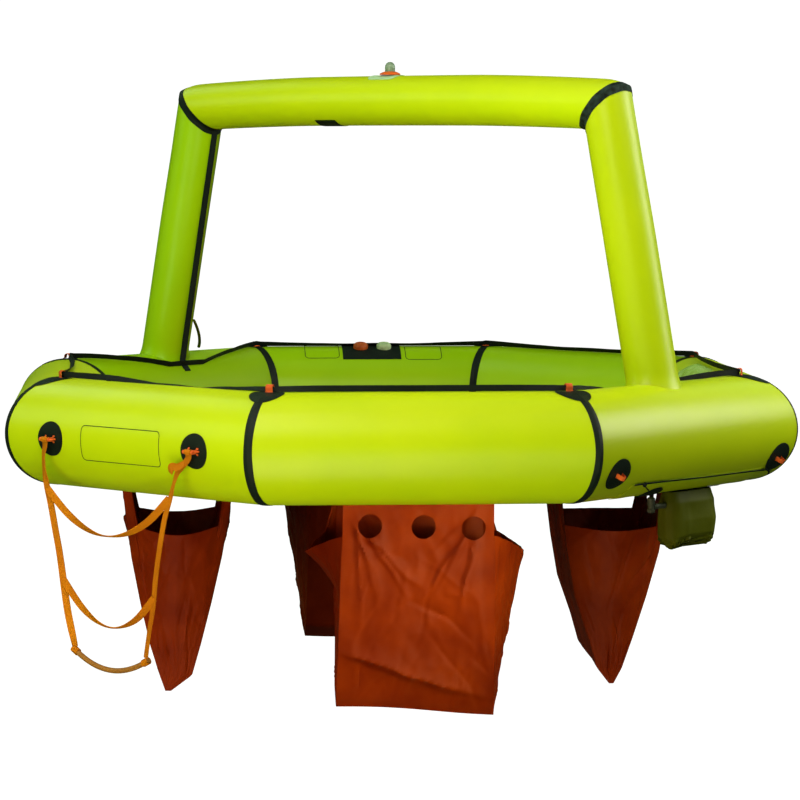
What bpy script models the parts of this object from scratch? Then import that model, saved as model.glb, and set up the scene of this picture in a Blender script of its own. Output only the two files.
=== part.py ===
"""Inflatable eight-sided life raft with a three-piece canopy arch and hanging ballast bags.

The frame is in metres, +Z up. The origin lies on the waterline at the raft's middle, -Y is the front.
"""
import math

import bmesh
import bpy
from mathutils import Vector

# Buoyancy tube
SIDE = 0.80
BACK_SIDE = 0.752
TUBE_R = 0.1485
DRAFT = 0.020
AXIS_Z = TUBE_R - DRAFT
AROUND = 32
GAP = 0.0003
TAPE_HALF = 0.013
TAPE_THICK = 0.0012
CORNER_PATCH_R = 0.050
CORNER_PATCH_AT = math.radians(78.75)

# Canopy arch, which stands on the middles of the back left and front right segments
ARCH_R = 0.0725
ARCH_AROUND = 28
ARCH_ANGLE = math.radians(135.0)
ARCH_TOP_HALF = 0.783
ARCH_RISE = 0.9217
ARCH_FOOT = 0.975
ARCH_BOW = 0.005
STRIP_WIDE = 0.016
STRIP_THICK = 0.0015

# Floor and ballast bags
FLOOR_TOP = -0.015
FLOOR_THICK = 0.003
FLOOR_INSET = 0.0442
BAG_CLOTH = 0.002
BAG_SHIFT = 0.012
BAG_LEVELS = (
    (-0.0183, 0.797, 0.478, 0.205, 0.000),
    (-0.1450, 0.781, 0.490, 0.207, 0.104),
    (-0.2500, 0.768, 0.509, 0.210, 0.080),
    (-0.3800, 0.743, 0.539, 0.213, 0.052),
    (-0.5000, 0.716, 0.570, 0.215, 0.026),
    (-0.5900, 0.690, 0.592, 0.217, 0.010),
    (-0.6350, 0.662, 0.612, 0.217, 0.000),
)
BAG_GUSSET_DIP = 0.040
BAG_HOLE_R = 0.032
BAG_HOLE_Z = -0.098
BAG_HOLES_X = (-0.140, 0.006, 0.147)

# Lifeline and its loops
LINE_HIGH = 0.017
LINE_THICK = 0.002
LOOP_WIDE = 0.022
LOOP_INSET = 0.012
LOOP_THICK = 0.002

# Boarding ladder, in the plane that hangs outside the front left segment
LADDER_OUT = 0.0205
LADDER_Z = -0.004
LADDER_ENDS = (-0.2790, 0.2690)
BAR_R = 0.003
EYE_IN = 0.0037
EYE_OUT = 0.0062
EYE_WIDE = 0.0212
WEB_WIDE = 0.020
WEB_THICK = 0.003
RUNG_R = 0.0075
SIDE_PATCH_R = 0.048

COLOURS = {
    "lime": ((0.45, 0.66, 0.010, 1.0), 0.42),
    "black": ((0.006, 0.011, 0.009, 1.0), 0.55),
    "orange_red": ((0.34, 0.060, 0.012, 1.0), 0.50),
    "floor": ((0.30, 0.052, 0.012, 1.0), 0.55),
    "webbing": ((0.80, 0.27, 0.010, 1.0), 0.60),
    "loop": ((0.72, 0.12, 0.020, 1.0), 0.55),
    "olive": ((0.20, 0.27, 0.010, 1.0), 0.50),
    "mint": ((0.45, 0.62, 0.42, 1.0), 0.60),
    "clear": ((0.42, 0.50, 0.42, 1.0), 0.15),
    "tan": ((0.60, 0.42, 0.20, 1.0), 0.40),
    "metal": ((0.50, 0.50, 0.46, 1.0), 0.30),
    "cap_orange": ((0.48, 0.10, 0.015, 1.0), 0.40),
    "cap_green": ((0.38, 0.52, 0.25, 1.0), 0.40),
    "pouch": ((0.45, 0.62, 0.30, 1.0), 0.20),
}

CORNERS = (
    ("front_left", 247.5),
    ("front_right", 292.5),
    ("right_front", 337.5),
    ("right_back", 22.5),
    ("back_right", 67.5),
    ("back_left", 112.5),
    ("left_back", 157.5),
    ("left_front", 202.5),
)
SEGMENTS = ("front", "front_right", "right", "back_right", "back", "back_left", "left", "front_left")
Z = Vector((0.0, 0.0, 1.0))


def material(key):
    """The named Principled material, made once."""
    found = bpy.data.materials.get(key)
    if found:
        return found
    colour, roughness = COLOURS[key]
    made = bpy.data.materials.new(key)
    made.use_nodes = True
    shader = made.node_tree.nodes["Principled BSDF"]
    shader.inputs["Base Color"].default_value = colour
    shader.inputs["Roughness"].default_value = roughness
    shader.inputs["Metallic"].default_value = 1.0 if key == "metal" else 0.0
    return made


def finish(bm, name, key, smooth=40.0):
    """Turn a bmesh into a named object with its material."""
    bmesh.ops.recalc_face_normals(bm, faces=bm.faces)
    if bm.calc_volume(signed=True) < 0.0:
        bmesh.ops.reverse_faces(bm, faces=bm.faces)
    mesh = bpy.data.meshes.new(name)
    bm.to_mesh(mesh)
    bm.free()
    mesh.materials.append(material(key))
    mesh.shade_smooth()
    mesh.set_sharp_from_angle(angle=math.radians(smooth))
    thing = bpy.data.objects.new(name, mesh)
    bpy.context.collection.objects.link(thing)
    return thing


def loft(rings, closed=False):
    """A bmesh skin over rings of points, capped at both ends or closed on itself."""
    bm = bmesh.new()
    rows = [[bm.verts.new(point) for point in ring] for ring in rings]
    pairs = list(zip(rows, rows[1:]))
    if closed:
        pairs.append((rows[-1], rows[0]))
    count = len(rows[0])
    for first, second in pairs:
        for i in range(count):
            j = (i + 1) % count
            bm.faces.new((first[i], first[j], second[j], second[i]))
    if not closed:
        bm.faces.new(rows[0])
        bm.faces.new(rows[-1])
    return bm


def circle(centre, right, up, radius, count):
    """Points of a circle about centre, from right towards up."""
    turns = [2.0 * math.pi * i / count for i in range(count)]
    return [centre + radius * (math.cos(t) * right + math.sin(t) * up) for t in turns]


def box_ring(centre, right, up, wide, high):
    """Corners of a rectangle about centre."""
    signs = ((-1, -1), (1, -1), (1, 1), (-1, 1))
    return [centre + right * (0.5 * wide * a) + up * (0.5 * high * b) for a, b in signs]


class Bend:
    """A corner where two equal tubes meet on their bisecting plane."""

    def __init__(self, point, back, ahead, side):
        self.point = point
        self.arms = ((back - point).normalized(), (ahead - point).normalized())
        self.side = side
        self.inside = (self.arms[0] + self.arms[1]).normalized()
        self.plane = (self.arms[0] - self.arms[1]).normalized()

    def outward(self, arm):
        """The direction square to an arm that points away from the inside of the bend."""
        along = self.arms[arm]
        return -(self.inside - self.inside.dot(along) * along).normalized()

    def reach(self, arm, turn, radius):
        """How far along an arm its surface line at this turn meets the bisecting plane."""
        along = self.arms[arm]
        slope = self.outward(arm).dot(self.plane) / along.dot(self.plane)
        return -radius * math.cos(turn) * slope

    def at(self, arm, turn, radius, past=0.0):
        """A point on an arm's surface, a distance past the bisecting plane."""
        around = math.cos(turn) * self.outward(arm) + math.sin(turn) * self.side
        along = self.reach(arm, turn, radius) + past
        return self.point + radius * around + along * self.arms[arm]


class Tube:
    """A straight stretch of the ring: its ends, direction, outward side and length."""

    def __init__(self, start, end):
        self.start = start
        self.end = end
        self.along = (end - start).normalized()
        self.out = self.along.cross(Z)
        self.length = (end - start).length

    def at(self, distance, degrees, radius):
        """A point at a distance along, degrees up from the outward side, and radius off the axis."""
        turn = math.radians(degrees)
        around = math.cos(turn) * self.out + math.sin(turn) * Z
        return self.start + distance * self.along + radius * around

    def normal(self, degrees):
        """The outward normal at degrees up from the outward side."""
        turn = math.radians(degrees)
        return math.cos(turn) * self.out + math.sin(turn) * Z


def ring_points():
    """The corner points of the ring's centreline."""
    reach = SIDE / (2.0 * math.sin(math.pi / 8.0))
    points = {}
    for name, degrees in CORNERS:
        turn = math.radians(degrees)
        points[name] = Vector((reach * math.cos(turn), reach * math.sin(turn), AXIS_Z))
    for name, sign in (("back_right", 1.0), ("back_left", -1.0)):
        points[name].x = sign * 0.5 * BACK_SIDE
    return points


POINTS = ring_points()
NAMES = [name for name, _ in CORNERS]
BENDS = {}
TUBES = {}
for index, corner in enumerate(NAMES):
    before = POINTS[NAMES[index - 1]]
    after = POINTS[NAMES[(index + 1) % 8]]
    BENDS[corner] = Bend(POINTS[corner], before, after, Z)
    TUBES[SEGMENTS[index]] = Tube(POINTS[corner], after)


def mitred_pipe(name, first, second, radius, count, key, bow=None):
    """A tube from one bend's second arm to the next bend's first arm."""
    turns = [2.0 * math.pi * i / count for i in range(count)]
    half = 0.5 * GAP
    start = [first.at(1, t, radius, half) for t in turns]
    end = [second.at(0, t, radius, half) for t in turns]
    rings = []
    for share in (0.0, 1.0 / 3.0, 2.0 / 3.0, 1.0):
        lift = bow * min(1.0, 3.0 * share, 3.0 * (1.0 - share)) if bow else Vector()
        rings.append([a.lerp(b, share) + lift for a, b in zip(start, end)])
    return finish(loft(rings), name, key)


def seam_tape(name, bend, radius, count, half_width):
    """A band of tape that covers the seam of a bend, closed on itself."""
    low = radius + GAP
    high = low + TAPE_THICK
    rings = []
    for i in range(count):
        turn = 2.0 * math.pi * i / count
        half = half_width(turn)
        rings.append(
            [
                bend.at(0, turn, low, half),
                bend.at(0, turn, low),
                bend.at(1, turn, low, half),
                bend.at(1, turn, high, half),
                bend.at(1, turn, high),
                bend.at(0, turn, high, half),
            ]
        )
    return finish(loft(rings, closed=True), name, "black")


def corner_half_width(turn):
    """The tape's half width round the tube, wider where the corner's patch lies."""
    reach = TUBE_R * math.remainder(turn - CORNER_PATCH_AT, 2.0 * math.pi)
    inside = CORNER_PATCH_R**2 - reach**2
    return max(TAPE_HALF, math.sqrt(inside) if inside > 0.0 else 0.0)


def tube_patch(name, tube, along, degrees, thick, key, rows=8, cols=6, lift=None):
    """A rectangular sheet that lies on a tube, between two distances and two turns."""
    low = TUBE_R + GAP + 0.0003
    bm = bmesh.new()
    layers = []
    for layer in (0, 1):
        grid = []
        for i in range(rows + 1):
            turn = degrees[0] + (degrees[1] - degrees[0]) * i / rows
            line = []
            for j in range(cols + 1):
                distance = along[0] + (along[1] - along[0]) * j / cols
                puff = lift(i / rows, j / cols) if lift else 0.0
                radius = low + layer * (thick + puff)
                line.append(bm.verts.new(tube.at(distance, turn, radius)))
            grid.append(line)
        layers.append(grid)
    for grid in layers:
        for i in range(rows):
            for j in range(cols):
                bm.faces.new((grid[i][j], grid[i][j + 1], grid[i + 1][j + 1], grid[i + 1][j]))
    inner, outer = layers
    rim = [(0, j) for j in range(cols)] + [(i, cols) for i in range(rows)]
    rim += [(rows, j) for j in range(cols, 0, -1)] + [(i, 0) for i in range(rows, 0, -1)]
    for (a, b), (c, d) in zip(rim, rim[1:] + rim[:1]):
        bm.faces.new((inner[a][b], inner[c][d], outer[c][d], outer[a][b]))
    return finish(bm, name, key)


def round_patch(name, tube, distance, degrees, radius, key="black", thick=0.0015):
    """A round fabric patch that lies on a tube."""
    low = TUBE_R + GAP + 0.0003
    bm = bmesh.new()
    count = 20
    rows = []
    for level in (low, low + thick):
        centre = bm.verts.new(tube.at(distance, degrees, level))
        loops = []
        for share in (0.4, 0.75, 1.0):
            ring = []
            for i in range(count):
                turn = 2.0 * math.pi * i / count
                across = radius * share * math.cos(turn)
                up = math.degrees(radius * share * math.sin(turn) / TUBE_R)
                ring.append(bm.verts.new(tube.at(distance + across, degrees + up, level)))
            loops.append(ring)
        rows.append((centre, loops))
    for centre, loops in rows:
        for i in range(count):
            j = (i + 1) % count
            bm.faces.new((centre, loops[0][i], loops[0][j]))
            for a, b in zip(loops, loops[1:]):
                bm.faces.new((a[i], b[i], b[j], a[j]))
    low_rim, high_rim = rows[0][1][-1], rows[1][1][-1]
    for i in range(count):
        j = (i + 1) % count
        bm.faces.new((low_rim[i], low_rim[j], high_rim[j], high_rim[i]))
    return finish(bm, name, key)


def strap_loop(name, foot, normal, across, inner, high, key="loop", wide=LOOP_WIDE):
    """A webbing staple: two feet, a bridge over what passes between them."""
    along = normal.cross(across).normalized()
    half = 0.5 * (inner + LOOP_THICK)
    arch = [(-half, 0.0), (-half, high - half)]
    arch += [(-half * math.cos(t), high - half + half * math.sin(t)) for t in (0.6, 1.15, 1.57, 1.99, 2.54)]
    arch += [(half, high - half), (half, 0.0)]
    points = [foot + across * x + normal * y for x, y in arch]
    rings = []
    for i, point in enumerate(points):
        ahead = (points[min(i + 1, len(points) - 1)] - points[max(i - 1, 0)]).normalized()
        side = ahead.cross(along).normalized()
        rings.append(box_ring(point, along, side, wide, LOOP_THICK))
    return finish(loft(rings), name, key)


def bar_staple(name, tube, distance, key="loop"):
    """A round bar on two short legs, which carries one side of the ladder."""
    seat = TUBE_R + GAP + 0.0003 + 0.0015 + GAP
    top = TUBE_R + LADDER_OUT
    half = 0.0190
    bend = 0.006
    path = [(-half, seat), (-half, top - bend)]
    path += [(-half + bend * (1.0 - math.cos(t)), top - bend + bend * math.sin(t)) for t in (0.52, 1.05, 1.57)]
    path += [(-x, y) for x, y in reversed(path)]
    centre = tube.start + distance * tube.along + LADDER_Z * Z
    out = tube.out
    points = [centre + tube.along * x + out * y for x, y in path]
    rings = []
    for i, point in enumerate(points):
        ahead = (points[min(i + 1, len(points) - 1)] - points[max(i - 1, 0)]).normalized()
        side = ahead.cross(Z).normalized()
        rings.append(circle(point, side, Z, BAR_R, 10))
    return finish(loft(rings), name, key)


def ribbon(path, wide, thick, origin, right, up, face):
    """A flat band along a path of (right, up) points, its faces square to face."""
    points = [Vector(p) for p in path]
    rings = []
    for i, point in enumerate(points):
        before = points[max(i - 1, 0)]
        after = points[min(i + 1, len(points) - 1)]
        ahead = (after - before).normalized()
        side = Vector((-ahead.y, ahead.x))
        centre = origin + right * point.x + up * point.y
        across = right * side.x + up * side.y
        rings.append(box_ring(centre, across, face, wide, thick))
    return loft(rings)


def sag(start, low, end, count):
    """Points of a parabola-like sag from start through low to end."""
    points = []
    for i in range(count + 1):
        t = i / count
        a = (1 - t) * (1 - 2 * t)
        b = 4 * t * (1 - t)
        c = t * (2 * t - 1)
        points.append(tuple(a * s + b * m + c * e for s, m, e in zip(start, low, end)))
    return points


def ring_band(centre, axis, inner, outer, wide, count=16):
    """A short open cylinder with a wall, such as an eye at a strap's end."""
    helper = Z if abs(axis.dot(Z)) < 0.9 else Vector((1.0, 0.0, 0.0))
    right = axis.cross(helper).normalized()
    up = axis.cross(right)
    rings = []
    for i in range(count):
        turn = 2.0 * math.pi * i / count
        ray = math.cos(turn) * right + math.sin(turn) * up
        rings.append(
            [
                centre + ray * inner - axis * 0.5 * wide,
                centre + ray * outer - axis * 0.5 * wide,
                centre + ray * outer + axis * 0.5 * wide,
                centre + ray * inner + axis * 0.5 * wide,
            ]
        )
    return loft(rings, closed=True)


def joined(name, key, pieces):
    """One body from overlapping pieces, by Boolean unions."""
    base = finish(pieces[0], name, key)
    for number, piece in enumerate(pieces[1:]):
        other = finish(piece, f"{name}_part_{number}", key)
        other.hide_render = True
        other.display_type = "WIRE"
        union = base.modifiers.new(f"join_{number}", "BOOLEAN")
        union.operation = "UNION"
        union.solver = "EXACT"
        union.object = other
    return base


def ring_of_tubes():
    """The eight segments of the buoyancy tube and the tapes over their seams."""
    for number, segment in enumerate(SEGMENTS):
        first = BENDS[NAMES[number]]
        second = BENDS[NAMES[(number + 1) % 8]]
        mitred_pipe(f"tube_{segment}", first, second, TUBE_R, AROUND, "lime")
    for corner in NAMES:
        seam_tape(f"seam_tape_{corner}", BENDS[corner], TUBE_R, AROUND, corner_half_width)


def floor():
    """The floor sheet between the tubes' undersides."""
    outline = []
    for corner in NAMES:
        bend = BENDS[corner]
        cosine = bend.arms[0].dot(bend.inside)
        inset = FLOOR_INSET / math.sqrt(1.0 - cosine**2)
        place = bend.point + bend.inside * inset
        outline.append(Vector((place.x, place.y, 0.0)))
    low = [p + Z * (FLOOR_TOP - FLOOR_THICK) for p in outline]
    high = [p + Z * FLOOR_TOP for p in outline]
    finish(loft([low, high]), "floor_sheet", "floor")


def arch():
    """The leaning legs, the top tube, the mitre tapes and the strips on the legs."""
    across = Vector((math.cos(ARCH_ANGLE), math.sin(ARCH_ANGLE), 0.0))
    side = across.cross(Z)
    feet = [across * ARCH_FOOT + Z * AXIS_Z, -across * ARCH_FOOT + Z * AXIS_Z]
    tops = [sign * across * ARCH_TOP_HALF + Z * (AXIS_Z + ARCH_RISE) for sign in (1.0, -1.0)]
    left = Bend(tops[0], feet[0], tops[1], side)
    right = Bend(tops[1], tops[0], feet[1], side)
    mitred_pipe("arch_top", left, right, ARCH_R, ARCH_AROUND, "lime", bow=Z * ARCH_BOW)
    for name, bend in (("left", left), ("right", right)):
        seam_tape(f"arch_tape_{name}", bend, ARCH_R, ARCH_AROUND, lambda turn: TAPE_HALF)
    arch_leg("arch_leg_left", left, 0, TUBES["back_left"])
    arch_leg("arch_leg_right", right, 1, TUBES["front_right"])
    arch_strip("arch_strip_left", left, 0, TUBES["back_left"])
    arch_strip("arch_strip_right", right, 1, TUBES["front_right"])
    return across


def drop_to_tube(point, ray, tube, radius):
    """Where a line down a leg meets the surface of the tube under it."""
    from_axis = point - tube.start
    across = from_axis - from_axis.dot(tube.along) * tube.along
    slope = ray - ray.dot(tube.along) * tube.along
    a = slope.dot(slope)
    b = 2.0 * across.dot(slope)
    c = across.dot(across) - radius**2
    distance = (-b - math.sqrt(b * b - 4.0 * a * c)) / (2.0 * a)
    return point + ray * distance


def arch_leg(name, bend, arm, tube):
    """A leg from its mitre down to the saddle where it stands on the ring."""
    down = bend.arms[arm]
    turns = [2.0 * math.pi * i / ARCH_AROUND for i in range(ARCH_AROUND)]
    head = [bend.at(arm, t, ARCH_R, 0.5 * GAP) for t in turns]
    out = bend.outward(arm)
    seat = TUBE_R + GAP + 0.0003
    rings = [head]
    saddle = []
    for share in (1.0, 0.8, 0.6, 0.4, 0.2):
        spots = [bend.point + ARCH_R * share * (math.cos(t) * out + math.sin(t) * bend.side) for t in turns]
        saddle.append([drop_to_tube(p, down, tube, seat) for p in spots])
    rings.append([a.lerp(b, 0.5) for a, b in zip(head, saddle[0])])
    rings += saddle
    bm = bmesh.new()
    rows = [[bm.verts.new(p) for p in ring] for ring in rings]
    centre = bm.verts.new(drop_to_tube(bend.point, down, tube, seat))
    for first, second in zip(rows, rows[1:]):
        for i in range(ARCH_AROUND):
            j = (i + 1) % ARCH_AROUND
            bm.faces.new((first[i], first[j], second[j], second[i]))
    for i in range(ARCH_AROUND):
        bm.faces.new((rows[-1][i], rows[-1][(i + 1) % ARCH_AROUND], centre))
    bm.faces.new(rows[0])
    finish(bm, name, "lime")


def arch_strip(name, bend, arm, tube):
    """The black strip down the face of a leg that looks to the other leg."""
    down = bend.arms[arm]
    inward = -bend.outward(arm)
    lift = ARCH_R + GAP + 0.0003 + 0.5 * STRIP_THICK
    start = bend.point + inward * lift + down * (bend.reach(arm, math.pi, ARCH_R) + TAPE_HALF + 0.002)
    foot = drop_to_tube(bend.point + inward * lift, down, tube, TUBE_R + 0.0022 + 0.5 * STRIP_THICK)
    rings = []
    for share in (0.0, 0.5, 0.985):
        rings.append(box_ring(start.lerp(foot, share), bend.side, inward, STRIP_WIDE, STRIP_THICK))
    finish(loft(rings), name, "black")


def lamp(across):
    """The pale patch on the arch, the lamp's base and its clear bulb."""
    at = across * 0.014
    top = AXIS_Z + ARCH_RISE + ARCH_R + ARCH_BOW + GAP
    side = across.cross(Z)
    centre = at + Z * (AXIS_Z + ARCH_RISE + ARCH_BOW)
    low = ARCH_R + GAP + 0.0006
    bm_rows = []
    for i in range(9):
        distance = -0.066 + 0.132 * i / 8
        ring = []
        for radius, turns in ((low, range(-3, 4)), (low + 0.0012, range(3, -4, -1))):
            for step in turns:
                turn = math.radians(12.0 * step)
                ring.append(centre + across * distance + radius * (math.sin(turn) * side + math.cos(turn) * Z))
        bm_rows.append(ring)
    finish(loft(bm_rows), "lamp_patch", "mint")
    seat = at + Z * (top + 0.0024)
    profile = ((0.030, 0.0), (0.030, 0.004), (0.024, 0.0075), (0.016, 0.0095))
    rings = [circle(seat + Z * h, across, side, r, 24) for r, h in profile]
    finish(loft(rings), "lamp_base", "cap_orange")
    bulb = seat + Z * (0.0095 + GAP)
    profile = ((0.0125, 0.0), (0.0125, 0.012), (0.0105, 0.019), (0.0060, 0.0235), (0.0020, 0.0248))
    rings = [circle(bulb + Z * h, across, side, r, 16) for r, h in profile]
    finish(loft(rings), "lamp_bulb", "clear")
    patch_low = ARCH_R + GAP + 0.0003
    patch_centre = across * 0.2285 + Z * (AXIS_Z + ARCH_RISE + ARCH_BOW - 0.0002)
    rows = []
    for i in range(5):
        distance = -0.040 + 0.080 * i / 4
        ring = []
        for radius, turns in ((patch_low, range(0, 9)), (patch_low + 0.0012, range(8, -1, -1))):
            for step in turns:
                turn = math.radians(40.0 - 10.0 * step)
                ring.append(patch_centre + across * distance + radius * (math.sin(turn) * -side - math.cos(turn) * Z))
        rows.append(ring)
    finish(loft(rows), "arch_patch", "black")


def bag_sheet():
    """The open sheet of a ballast bag: two panels, two gussets that bulge, a narrow bottom."""
    bm = bmesh.new()
    panel = 6
    gusset = 4
    rows = []
    for level, (z, outer, inner, half, bulge) in enumerate(BAG_LEVELS):
        row = []
        for i in range(panel):
            row.append((BAG_SHIFT - half + 2.0 * half * i / panel, -outer, z))
        for i in range(gusset):
            share = i / gusset
            swell = (1.0 - abs(2.0 * share - 1.0)) ** 0.85
            dip = BAG_GUSSET_DIP * swell if level == 1 else 0.0
            row.append((BAG_SHIFT + half + bulge * swell, -outer + (outer - inner) * share, z - dip))
        for i in range(panel):
            row.append((BAG_SHIFT + half - 2.0 * half * i / panel, -inner, z))
        for i in range(gusset):
            share = i / gusset
            swell = (1.0 - abs(2.0 * share - 1.0)) ** 0.85
            dip = BAG_GUSSET_DIP * swell if level == 1 else 0.0
            row.append((BAG_SHIFT - half - bulge * swell, -inner - (outer - inner) * share, z - dip))
        rows.append(row)
    count = 2 * (panel + gusset)
    verts = {}
    for level, row in enumerate(rows):
        for i, point in enumerate(row):
            in_gusset = panel < i < panel + gusset or i > 2 * panel + gusset
            if level == 0 and in_gusset:
                continue
            verts[level, i] = bm.verts.new(point)
    for level in range(len(rows) - 1):
        for i in range(count):
            j = (i + 1) % count
            keys = ((level, i), (level, j), (level + 1, j), (level + 1, i))
            wing = panel <= i < panel + gusset or i >= 2 * panel + gusset
            if level == 0 and wing:
                continue
            bm.faces.new([verts[k] for k in keys])
    last = len(rows) - 1
    outer_row = [verts[last, i] for i in range(panel + 1)]
    inner_row = [verts[last, (2 * panel + gusset - i) % count] for i in range(panel + 1)]
    right_side = [verts[last, panel + i] for i in range(1, gusset)]
    left_side = [verts[last, (count - i) % count] for i in range(1, gusset)]
    grid = [outer_row]
    for i in range(1, gusset):
        share = i / gusset
        line = [left_side[i - 1]]
        for k in range(1, panel):
            spot = outer_row[k].co.lerp(inner_row[k].co, share)
            spot.z -= 0.004
            line.append(bm.verts.new(spot))
        line.append(right_side[i - 1])
        grid.append(line)
    grid.append(inner_row)
    for a, b in zip(grid, grid[1:]):
        for k in range(panel):
            bm.faces.new((a[k], a[k + 1], b[k + 1], b[k]))
    bmesh.ops.recalc_face_normals(bm, faces=bm.faces)
    return bm


def ballast_bags():
    """Four like bags under the front, right, back and left segments."""
    bm = bag_sheet()
    mesh = bpy.data.meshes.new("bag_sheet")
    bm.to_mesh(mesh)
    bm.free()
    master = bpy.data.objects.new("bag_master", mesh)
    bpy.context.collection.objects.link(master)
    thick = master.modifiers.new("cloth", "SOLIDIFY")
    thick.thickness = BAG_CLOTH
    thick.offset = 0.0
    thick.use_even_offset = False
    holes = []
    for number, x in enumerate(BAG_HOLES_X):
        middle = Vector((BAG_SHIFT + x, -0.785, BAG_HOLE_Z))
        ring = circle(middle - Vector((0.0, 0.05, 0.0)), Vector((1, 0, 0)), Z, BAG_HOLE_R, 20)
        back = [p + Vector((0.0, 0.10, 0.0)) for p in ring]
        cutter = finish(loft([ring, back]), f"hole_cutter_{number}", "black")
        cut = master.modifiers.new(f"hole_{number}", "BOOLEAN")
        cut.operation = "DIFFERENCE"
        cut.solver = "EXACT"
        cut.object = cutter
        holes.append(cutter)
    depsgraph = bpy.context.evaluated_depsgraph_get()
    shaped = bpy.data.meshes.new_from_object(master.evaluated_get(depsgraph))
    for extra in [master, *holes]:
        bpy.data.objects.remove(extra)
    shaped.name = "ballast_bag"
    shaped.materials.clear()
    shaped.materials.append(material("orange_red"))
    for name, quarter in (("front", 0), ("right", 1), ("back", 2), ("left", 3)):
        bag = bpy.data.objects.new(f"ballast_bag_{name}", shaped)
        bag.rotation_euler = (0.0, 0.0, quarter * math.pi / 2.0)
        bpy.context.collection.objects.link(bag)


def lifeline_offsets():
    """For each segment, the line's inward offset at a few shares of its length."""
    leg = ((0.022, 0.0057), (0.20, 0.055), (0.41, 0.1000), (0.59, 0.1000), (0.80, 0.055), (0.978, 0.0057))
    taut = ((0.022, 0.0057), (0.25, 0.016), (0.5, 0.020), (0.75, 0.016), (0.978, 0.0057))
    slack = ((0.022, 0.0057), (0.2, 0.026), (0.4, 0.052), (0.6, 0.058), (0.8, 0.030), (0.978, 0.0057))
    top = ((0.022, 0.0057), (0.25, 0.002), (0.5, 0.0), (0.75, 0.002), (0.978, 0.0057))
    plan = {segment: taut for segment in SEGMENTS}
    plan["back"] = top
    plan["back_left"] = leg
    plan["front_right"] = leg
    plan["front_left"] = slack
    return plan


def lifeline():
    """One black webbing line on edge round the top of the ring."""
    stations = []
    plan = lifeline_offsets()
    for segment in SEGMENTS:
        tube = TUBES[segment]
        marks = plan[segment]
        stations.append((tube, 0.0, LOOP_INSET))
        for (s0, d0), (s1, d1) in zip(marks, marks[1:]):
            for step in range(2):
                stations.append((tube, s0 + (s1 - s0) * step / 2, d0 + (d1 - d0) * step / 2))
        stations.append((tube, *marks[-1]))
    points = []
    for tube, share, offset in stations:
        near = max(abs(offset) - 0.0012, 0.0)
        rise = math.sqrt((TUBE_R + 0.0018) ** 2 - near**2) + 0.0006
        place = tube.start + tube.along * (share * tube.length)
        inward = -tube.out
        if share == 0.0:
            bend = next(b for b in BENDS.values() if (b.point - tube.start).length < 1e-6)
            inward = bend.inside
        points.append(place + inward * offset + Z * (rise + 0.5 * LINE_HIGH))
    rings = []
    for i, point in enumerate(points):
        before, after = points[i - 1], points[(i + 1) % len(points)]
        ahead = (after - before).normalized()
        flat = Vector((ahead.x, ahead.y, 0.0)).normalized()
        side = flat.cross(Z)
        rings.append(box_ring(point, side, Z, LINE_THICK, LINE_HIGH))
    finish(loft(rings, closed=True), "lifeline", "black", smooth=30.0)


def corner_loops():
    """An orange loop over the lifeline at each corner."""
    for corner in NAMES:
        bend = BENDS[corner]
        foot = bend.point + bend.inside * LOOP_INSET + Z * (TUBE_R + GAP + TAPE_THICK + 0.0004)
        strap_loop(f"line_loop_{corner}", foot, Z, bend.inside, 0.013, 0.0225)


def side_patches():
    """Round patches low on the front right segment, with a loop on each."""
    tube = TUBES["front_right"]
    for number, (distance, degrees) in enumerate(((0.040, -27.0), (0.794, -31.0)), start=1):
        name = "near" if number == 1 else "far"
        round_patch(f"side_patch_{name}", tube, distance, degrees, 0.040)
        normal = tube.normal(degrees)
        seat = TUBE_R + GAP + 0.0003 + 0.0015 + 0.0006
        foot = tube.at(distance, degrees, seat)
        strap_loop(f"side_loop_{name}", foot, normal, tube.along, 0.014, 0.020, wide=0.014)


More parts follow.
